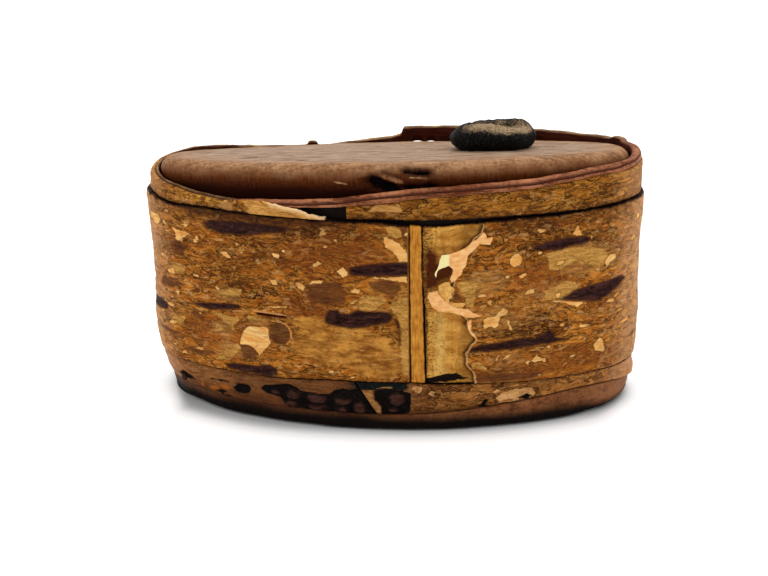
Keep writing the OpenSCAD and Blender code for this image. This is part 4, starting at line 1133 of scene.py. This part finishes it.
# Painted sheen: paler towards the box's ends.
colour = ((wire.mark("end") + stray * 0.6).lift(0.1, 1.0) * 0.4).tint(colour, paint(206, 150, 100))
tan = grain.lift(0.3, 0.7).tint(paint(180, 118, 50), paint(236, 180, 106))
colour = ((wire.mark("tan") + stray * 0.6).lift(-0.15, 0.15) * 0.85).tint(colour, tan)
fibre = wire.noise(lay, (0.5, 5.0, 1), 5, 0.6, 0.5)
raw = (fibre * 0.6 + grain * 0.4).lift(0.36, 0.62).tint(paint(150, 90, 30), paint(234, 172, 92))
raw = ((wire.mark("top") + fibre.sway(2.2)).lift(0.9, 0.1) * 0.8).tint(raw, paint(250, 204, 144))
raw = ((wire.mark("top") + fine.sway(0.6)).lift(0.16, 0.0) * 0.9).tint(raw, paint(250, 212, 160))
colour = (wire.mark("torn") + fine.sway(1.6)).lift(-0.1, 0.3).tint(colour, raw)
whole = 1 - wire.mark("torn").lift(0.2, 0.5)
# Painted shade: darker towards the hoop's lower edge and near black along it, above the jacket, except on
# the torn end.
colour = ((wire.mark("foot") + stray * 1.4).lift(2.0, 0.3) * whole * 0.5).tint(colour, paint(72, 34, 14))
colour = ((wire.mark("foot") + fine.sway(0.9)).lift(0.5, 0.05) * whole).tint(colour, paint(26, 12, 7))
coat(wire, colour, 0.64 - fine * 0.2, height, 0.18)
pierce(hoop)
belongs(hoop, material, "box", "hoop_bark", "upper_hoop")


# Lid: a plug of weathered wood carved to the oval, its edge worn soft, pushed in askew so that its
# front stands proud. A worm slot and a knot broken out of its front show black.
LID_WIDE, LID_EDGE, LID_T, LID_DRAW, LID_UNDER = -2.95, 2.4, 9.8, 0.17, 0.35
LID_LEAN, LID_TILT, LID_TOP = math.radians(7.4), math.radians(1.5), 48.9
LID_STEPS, TOP_REACH = 600, 17
SLOT_DEEP, HOLE_DEEP, SPLINTER_HIGH, KNOT_DEEP, LID_HOLLOW = 1.3, 1.5, 0.2, 0.25, 0.45
AT_LID = (Matrix.Translation((0, 0, LID_TOP - LID_EDGE)) @ Matrix.Rotation(-LID_TILT, 4, "Y")
          @ Matrix.Rotation(-LID_LEAN, 4, "X") @ Matrix.Translation((0, 0, LID_EDGE)))
KNOTS = ((-36.6, 0.6), (-15.3, -11.8), (33.3, 5.6), (-3.0, 9.0), (-26.0, -7.5))


def on_lid(x, y, z):
    """Places in the lid's own frame, middle of its top at zero, moved to where the lid sits."""
    turn = np.array(AT_LID)
    return (turn[row, 0] * x + turn[row, 1] * y + turn[row, 2] * z + turn[row, 3] for row in range(3))


s = np.linspace(-ROUND / 2, ROUND / 2, LID_STEPS + 1)
side_l = LID_T - LID_EDGE
round_l = LID_EDGE * math.pi / 2
under_out = LID_WIDE - LID_DRAW * side_l - LID_UNDER
# A row holds its share of the way out from the middle, how far out it lies, its height, and how far
# down the worn edge and the side it is.
rows = [(share, LID_WIDE - LID_EDGE, 0, (share - 1) * TOP_REACH) for share in np.linspace(0, 0.98, 40)]
for turn in np.linspace(0, math.pi / 2, 15):
    over = LID_WIDE - LID_EDGE * (1 - math.sin(turn))
    rows.append((1, over, -LID_EDGE * (1 - math.cos(turn)), LID_EDGE * turn))
rows += [(1, LID_WIDE - LID_DRAW * drop, -LID_EDGE - drop, round_l + drop)
         for drop in np.linspace(0.25, side_l - 0.3, 26)]
rows += [(1, under_out, -LID_T, round_l + side_l + 0.3)]
rows += [(share, under_out, -LID_T, round_l + side_l + 1) for share in np.linspace(0.9, 0, 8)]
share, out, z, down = (np.array([[row[part]] for row in rows]) + 0 * s for part in range(4))
S = np.broadcast_to(s, out.shape)
x, y = around(S, out)
x, y = x * share, y * share
tilt = np.clip(down / LID_EDGE, 0, math.pi / 2)
above = down < round_l + side_l
ahead = (y < -5) & above
rough = noise(S, down + 40, 1.1, 241, 1.6) - 0.5
slot = most([streak(x, down, 3.6, 2.7, 8.6, 3.0, 0.5), oval(x, down, 4.3, 2.6, 0.9, 0.7),
             streak(x, down, 0.0, 2.7, 3.2, 3.7, 0.2)])
slot = np.where(ahead, slot, -2) + rough * 0.8
hole = most([oval(x, down, 0.8, 5.3, 2.6, 1.2, 8), oval(x, down, -1.4, 4.3, 1.7, 1.0, 20),
             streak(x, down, 3.4, 5.4, 9.6, 5.5, 0.6), oval(x, down, 5.8, 5.6, 1.8, 0.8)])
splinter = np.where(ahead, streak(x, down, 0.0, 3.3, 3.6, 4.6, 0.55), -2)
hole = np.where(ahead, hole + rough * 1.5 - 0.9 * ease(splinter, -0.1, 0.4), -2)
# A pale scratch on the left, and a painted highlight under the slot's lower lip on the right.
fleck = most([streak(x, down, -8.9, 4.3, -6.3, 4.8, 0.13), streak(x, down, 4.8, 3.75, 8.0, 3.95, 0.1)])
fleck = np.where(ahead, fleck, -2)
pits = np.max([ease(oval(x, y, *knot, 1.3, 0.35), -0.1, 0.3) * (down < 0.5) for knot in KNOTS], axis=0)
wear = (noise(x + 150, y + 60, 14, 251, 2) - 0.5) * 0.5
wear = wear + (noise(x + 150, y * 2 + 60, 2, 261, 4) - 0.5) * 0.12
sink = SLOT_DEEP * ease(slot, -0.05, 0.4) + HOLE_DEEP * ease(hole, -0.1, 0.6)
sink = sink - SPLINTER_HIGH * ease(splinter, -0.2, 0.6) + KNOT_DEEP * pits
sink = sink + (wear + LID_HOLLOW * ease(y, 2, 15) * ease(x, 32, 10)) * above
from_middle = np.hypot(x, y) + 1e-6
inward = sink * np.sin(tilt)
x, y, z = (x - inward * x / from_middle * 0.2,
           y - inward * np.sign(y) * (np.abs(y) / from_middle) ** 0.3,
           z - sink * np.cos(tilt))
dark_knot = np.max([oval(x, y, *knot, 1.4, 0.4) * (down < 0.5) - (down >= 0.5) for knot in KNOTS], axis=0)
lid = skin("lid_wood", *on_lid(x, y, z), {
    "down": np.clip(down, -20, 20), "across": x, "back": y, "hole": np.maximum(hole, slot),
    "knot": dark_knot, "splinter": splinter, "fleck": fleck, "along": S})
material, wire = finish("lid_wood", 0.03)
lay = wire.flat(wire.mark("across"), wire.mark("back"))
turned = wire.flat(wire.mark("along"), wire.mark("down"))
grain = wire.noise(lay, (0.09, 1.6, 1), 9, 0.62, 0.5)
hair = wire.noise(lay, (0.35, 6.0, 1), 4)
mottle = wire.noise(lay, (0.25, 0.5, 1), 6, 0.6)
flake = wire.noise(lay, (1.0, 5.0, 1), 5, 0.65)
drip = wire.noise(turned, (2.2, 0.2, 1), 6, 0.6)
smear = wire.noise(turned, (0.14, 0.3, 1), 5)
dot = wire.noise(turned, (1.4, 1.8, 1), 5)
top = (grain * 0.6 + mottle * 0.4).lift(0.36, 0.64).tint(paint(122, 95, 74), paint(180, 152, 128))
top = (hair.lift(0.52, 0.7) * 0.5).tint(top, paint(98, 72, 54))
top = (flake.lift(0.54, 0.7) * 0.55).tint(top, paint(204, 178, 150))
top = (flake.lift(0.46, 0.32) * 0.6).tint(top, paint(104, 76, 56))
top = wire.mark("knot").lift(-0.12, 0.05).tint(top, paint(40, 26, 18))
shoulder = (dot * 0.4 + grain * 0.3 + mottle * 0.3).lift(0.4, 0.62)
shoulder = shoulder.tint(paint(118, 80, 51), paint(184, 138, 97))
shoulder = (dot.lift(0.6, 0.72) * 0.5).tint(shoulder, paint(206, 164, 122))
# The front side is darker partly from its own red-brown colour and partly by painted shade, darkest
# lowest down towards the rim.
side = (drip * 0.35 + smear * 0.3 + dot * 0.35).lift(0.38, 0.66)
side = side.tint(paint(64, 23, 6), paint(116, 60, 22))
side = (dot.lift(0.58, 0.75) * 0.5).tint(side, paint(48, 19, 8))
side = (wire.mark("down") + smear.sway(2)).lift(3.6, 6.4).tint(side, paint(36, 10, 3))
edge = wire.mark("down") + smear.sway(3.0) + dot.sway(2.0) + grain.sway(2)
colour = edge.lift(-3.5, 2.6).tint(top, shoulder)
colour = edge.lift(1.3, 4.6).tint(colour, side)
split = (drip * 0.5 + dot * 0.5).lift(0.4, 0.6).tint(paint(112, 66, 34), paint(178, 130, 86))
colour = (wire.mark("splinter") + dot.sway(0.9)).lift(-0.15, 0.25).tint(colour, split)
# Painted shade: the holes and the slot are painted black inside, and darker brown for a mm round them.
shade_pocket = wire.mark("hole") + dot.sway(1.3) + hair.sway(0.6)
colour = (shade_pocket.lift(-1.0, 0.1) * 0.85).tint(colour, paint(52, 21, 8))
colour = shade_pocket.lift(-0.05, 0.4).tint(colour, paint(8, 5, 7))
# A pale scratch, and a painted highlight along the slot's lower lip.
colour = (wire.mark("fleck") + dot.sway(0.3)).lift(-0.1, 0.1).tint(colour, paint(188, 142, 98))
coat(wire, colour, 0.7 - mottle * 0.25, grain * 0.5 + hair * 0.5 + dot * 0.3, 0.1)
belongs(lid, material, "lid", "lid_wood", "lid_board")


# Pull: a round black leather thong bent into a flat loop on the lid. Fingers have rubbed the crest of
# its front strand down to tan suede, and its back strand humps up to the right.
THONG_R, LOOP_GAP, LOOP_HALF = 2.45, 5.2, 3.15
PULL_X, PULL_Y, PULL_Z = 19.3, 2.5, 2.48
LOOP_STEPS, GIRTH_STEPS = 144, 48
DIMPLE, DIMPLE_HALF, DIMPLE_DEEP = (7.2, -3.6, -0.6), (1.3, 1.5, 1.4), 0.9
FRONT_CREST = ((-8, -0.6), (-5, -0.1), (-2, 0.15), (0, 0.0), (2.5, -0.55), (5, -0.75), (8, -0.6))
BACK_CREST = ((-8, -1.0), (-5, -0.4), (-3, 0.2), (0, 0.4), (2, 0.5), (4, 0.6), (5.5, 0.5), (8, -0.4))
arc = math.pi * LOOP_GAP / 2
strand = 2 * LOOP_HALF
bend_r = LOOP_GAP / 2
turn = np.linspace(0, 1, LOOP_STEPS + 1)[None, :] * (4 * LOOP_HALF + math.pi * LOOP_GAP)
girth = np.linspace(0, 2 * math.pi, GIRTH_STEPS + 1)[:, None]
legs = [turn < strand, turn < strand + arc, turn < 2 * strand + arc]
ahead, behind = -math.pi / 2 + 0 * turn, math.pi / 2 + 0 * turn
facing = np.select(legs, [ahead, ahead + (turn - strand) / bend_r, behind],
                   behind + (turn - 2 * strand - arc) / bend_r)
middle = np.select(legs, [turn - LOOP_HALF, LOOP_HALF + 0 * turn, LOOP_HALF - (turn - strand - arc)],
                   -LOOP_HALF + 0 * turn)
spin = turn / turn.max() * ROUND
lump = (noise(spin, np.cos(girth) * 6 + 80, 6, 271) - 0.5) * 0.5
lump = lump + (noise(spin, np.sin(girth) * 9 + 80, 1.2, 281, 3) - 0.5) * 0.16
radius = THONG_R * (1 + 0.05 * np.sin(facing * 3 + 1) + 0.04 * np.cos(facing * 5)) + lump * 0.8
x = middle + np.cos(facing) * (bend_r + radius * np.cos(girth))
y = -bend_r + np.sin(facing) * (bend_r + radius * np.cos(girth))
front_side = ease(-np.sin(facing), -0.4, 0.4)
crest = np.interp(x, *zip(*FRONT_CREST)) * front_side + np.interp(x, *zip(*BACK_CREST)) * (1 - front_side)
rise = radius * np.sin(girth) + crest * ease(np.sin(girth), -0.3, 0.9)
from_dimple = np.sqrt(sum(((value - at) / half) ** 2
                          for value, at, half in zip((x, y, rise), DIMPLE, DIMPLE_HALF)))
dimple = ease(from_dimple, 1.0, 0.2)
x = x - DIMPLE_DEEP * dimple
valley = 0.9 * ease(-np.cos(girth), -0.3, 0.6) * ease(np.sin(girth), -0.4, 0.4)
worn = ease(np.sin(girth), 0.05, 0.95) * front_side + 0.55 * valley * (1 - front_side)
worn = worn * ease(x, -6.8, -2.5) * ease(x, 8.8, 7.0) - 0.8 * dimple
rise = np.maximum(rise, 0.03 - PULL_Z)
pull = skin("pull_leather", *on_lid(PULL_X + x, PULL_Y + y, PULL_Z + rise), {"worn": worn})
material, wire = finish("pull_leather", 0.06)
place = wire.place()
grain = wire.noise(place, (2600, 2600, 2600), 5, 0.65)
blotch = wire.noise(place, (420, 420, 420), 5, 0.6)
nap = wire.noise(place, (6000, 6000, 6000), 3)
hide = grain.lift(0.47, 0.76).tint(paint(5, 4, 4), paint(50, 45, 39))
suede = nap.lift(0.38, 0.62).tint(paint(104, 84, 60), paint(192, 164, 128))
suede = (grain.lift(0.5, 0.36) * 0.6).tint(suede, paint(60, 48, 36))
rubbed = (wire.mark("worn") + blotch.sway(1.2) + grain.sway(1.2)).lift(0.25, 0.95)
colour = rubbed.tint(hide, suede)
coat(wire, colour, 0.55 + rubbed * 0.35, grain + nap * 0.4, 0.25)
belongs(pull, material, "pull", "pull_leather", "pull_loop")


# Tails and wedge: the thong's two ends, drawn down through the lid under the loop, and the sliver of
# wood driven up between them from below. They keep the shapes of their solids.
dress("pull_tails", material)
dress("pull_wedge", sawn_wood("wedge_wood", paint(150, 112, 72), paint(104, 70, 42), paint(56, 36, 22)))


# Floor, light and camera: a pale table whose colour carries a painted shadow close round the foot,
# added to the shadow that the box casts, and white further out; a broad soft lamp overhead, one at
# each side, and the photograph's view.
VIEW_AZIMUTH, VIEW_ELEVATION, VIEW_ROLL = math.radians(5.44), math.radians(21.315), math.radians(0.958)
VIEW_DISTANCE, VIEW_TARGET, VIEW_LENS = 249.6, Vector((-1.883, 0, 20.609)), 58.44
SEEN_RAYS = ("Is Camera Ray", "Is Glossy Ray", "Is Transmission Ray")
SHADE_AHEAD, SHADE_END, SHADE_STEEP, LEFT_SIDE, LEFT_END = 0.3, 1.8, 1.7, 1.8, 1.5
SHADED_TABLE, PLAIN_TABLE = (0.42, 0.42, 0.42, 1), (0.92, 0.92, 0.92, 1)
NEAR_GLOW, FAR_GLOW, SKY_UNSEEN = 0.27, 0.45, 0.5
LAMPS = (((0, 0.12, 0.8), 1.0, 5.6), ((-0.8, -0.15, 0.45), 0.7, 2.0), ((0.8, -0.1, 0.45), 0.7, 2.0))
LAMP_TARGET = Vector((0, 0, 0.03))
bpy.ops.object.select_all(action="DESELECT")
bpy.ops.mesh.primitive_plane_add(size=6)
floor = bpy.context.object
floor.name = "floor"
material, wire = finish("pale_table", 0.0)
seen = sum(wire.node("LightPath", {}, {}, ray) for ray in SEEN_RAYS)
place = wire.place()


def reach(first, second):
    """Length of the line from the middle to a point on the table."""
    return wire.node("VectorMath", {"operation": "LENGTH"}, {0: wire.flat(first, second)}, 1)


across = wire.math("ABSOLUTE", wire.part(place, 0))
ahead = wire.math("ABSOLUTE", wire.part(place, 1) + SHADE_AHEAD * MM)
on_left = wire.part(place, 0).lift(0.0, -30 * MM)
off_side = reach(across, ahead + SIDE_Y * MM) - SIDE_R * MM - on_left * (LEFT_SIDE * MM)
off_end = reach(across - END_X * MM, ahead) - (END_R - SHADE_END) * MM + on_left * (LEFT_END * MM)
at_end = (across * (SIDE_Y / END_X) - ahead).lift((SIDE_Y - 6) * MM, (SIDE_Y + 14) * MM)
off = off_side + (off_end * SHADE_STEEP - off_side) * at_end
# Painted shadow: the table's colour darkens close round the foot, and the camera-ray glow fades there.
table = off.lift(-2.0 * MM, 2.4 * MM).tint(SHADED_TABLE, PLAIN_TABLE)
glow = off.lift(-0.5 * MM, 5.5 * MM) * NEAR_GLOW + reach(across, ahead).lift(0.35, 1.2) * FAR_GLOW
shader = wire.tree.nodes["Principled BSDF"]
wire.tree.links.new(table.socket, shader.inputs["Base Color"])
shader.inputs["Roughness"].default_value = 1.0
shader.inputs["Emission Strength"].default_value = 1.0
wire.tree.links.new((seen * glow).socket, shader.inputs["Emission Color"])
floor.data.materials.append(material)

world = bpy.context.scene.world or bpy.data.worlds.new("studio")
bpy.context.scene.world = world
world.use_nodes = True
backdrop = world.node_tree.nodes["Background"]
backdrop.inputs["Color"].default_value = (1, 1, 1, 1)
sky = Wire(world.node_tree)
seen = sum(sky.node("LightPath", {}, {}, ray) for ray in SEEN_RAYS)
sky_light = seen * (1 - SKY_UNSEEN) + SKY_UNSEEN
world.node_tree.links.new(sky_light.socket, backdrop.inputs["Strength"])
for stand, size, power in LAMPS:
    bpy.ops.object.light_add(type="AREA", location=stand)
    lamp = bpy.context.object
    lamp.data.size = size
    lamp.data.energy = power
    lamp.rotation_euler = (LAMP_TARGET - lamp.location).to_track_quat("-Z", "Y").to_euler()

level = math.cos(VIEW_ELEVATION)
back = Vector((math.sin(VIEW_AZIMUTH) * level, -math.cos(VIEW_AZIMUTH) * level, math.sin(VIEW_ELEVATION)))
right = Vector((math.cos(VIEW_AZIMUTH), math.sin(VIEW_AZIMUTH), 0))
up = back.cross(right)
view_right = right * math.cos(VIEW_ROLL) - up * math.sin(VIEW_ROLL)
view_up = right * math.sin(VIEW_ROLL) + up * math.cos(VIEW_ROLL)
bpy.ops.object.camera_add(location=(VIEW_TARGET + back * VIEW_DISTANCE) * MM)
camera = bpy.context.object
camera.data.lens = VIEW_LENS
camera.data.sensor_width = 36
camera.data.clip_start = 0.01
camera.rotation_euler = Matrix((view_right, view_up, back)).transposed().to_euler()
bpy.context.scene.camera = camera
bpy.context.scene.view_settings.view_transform = "Standard"
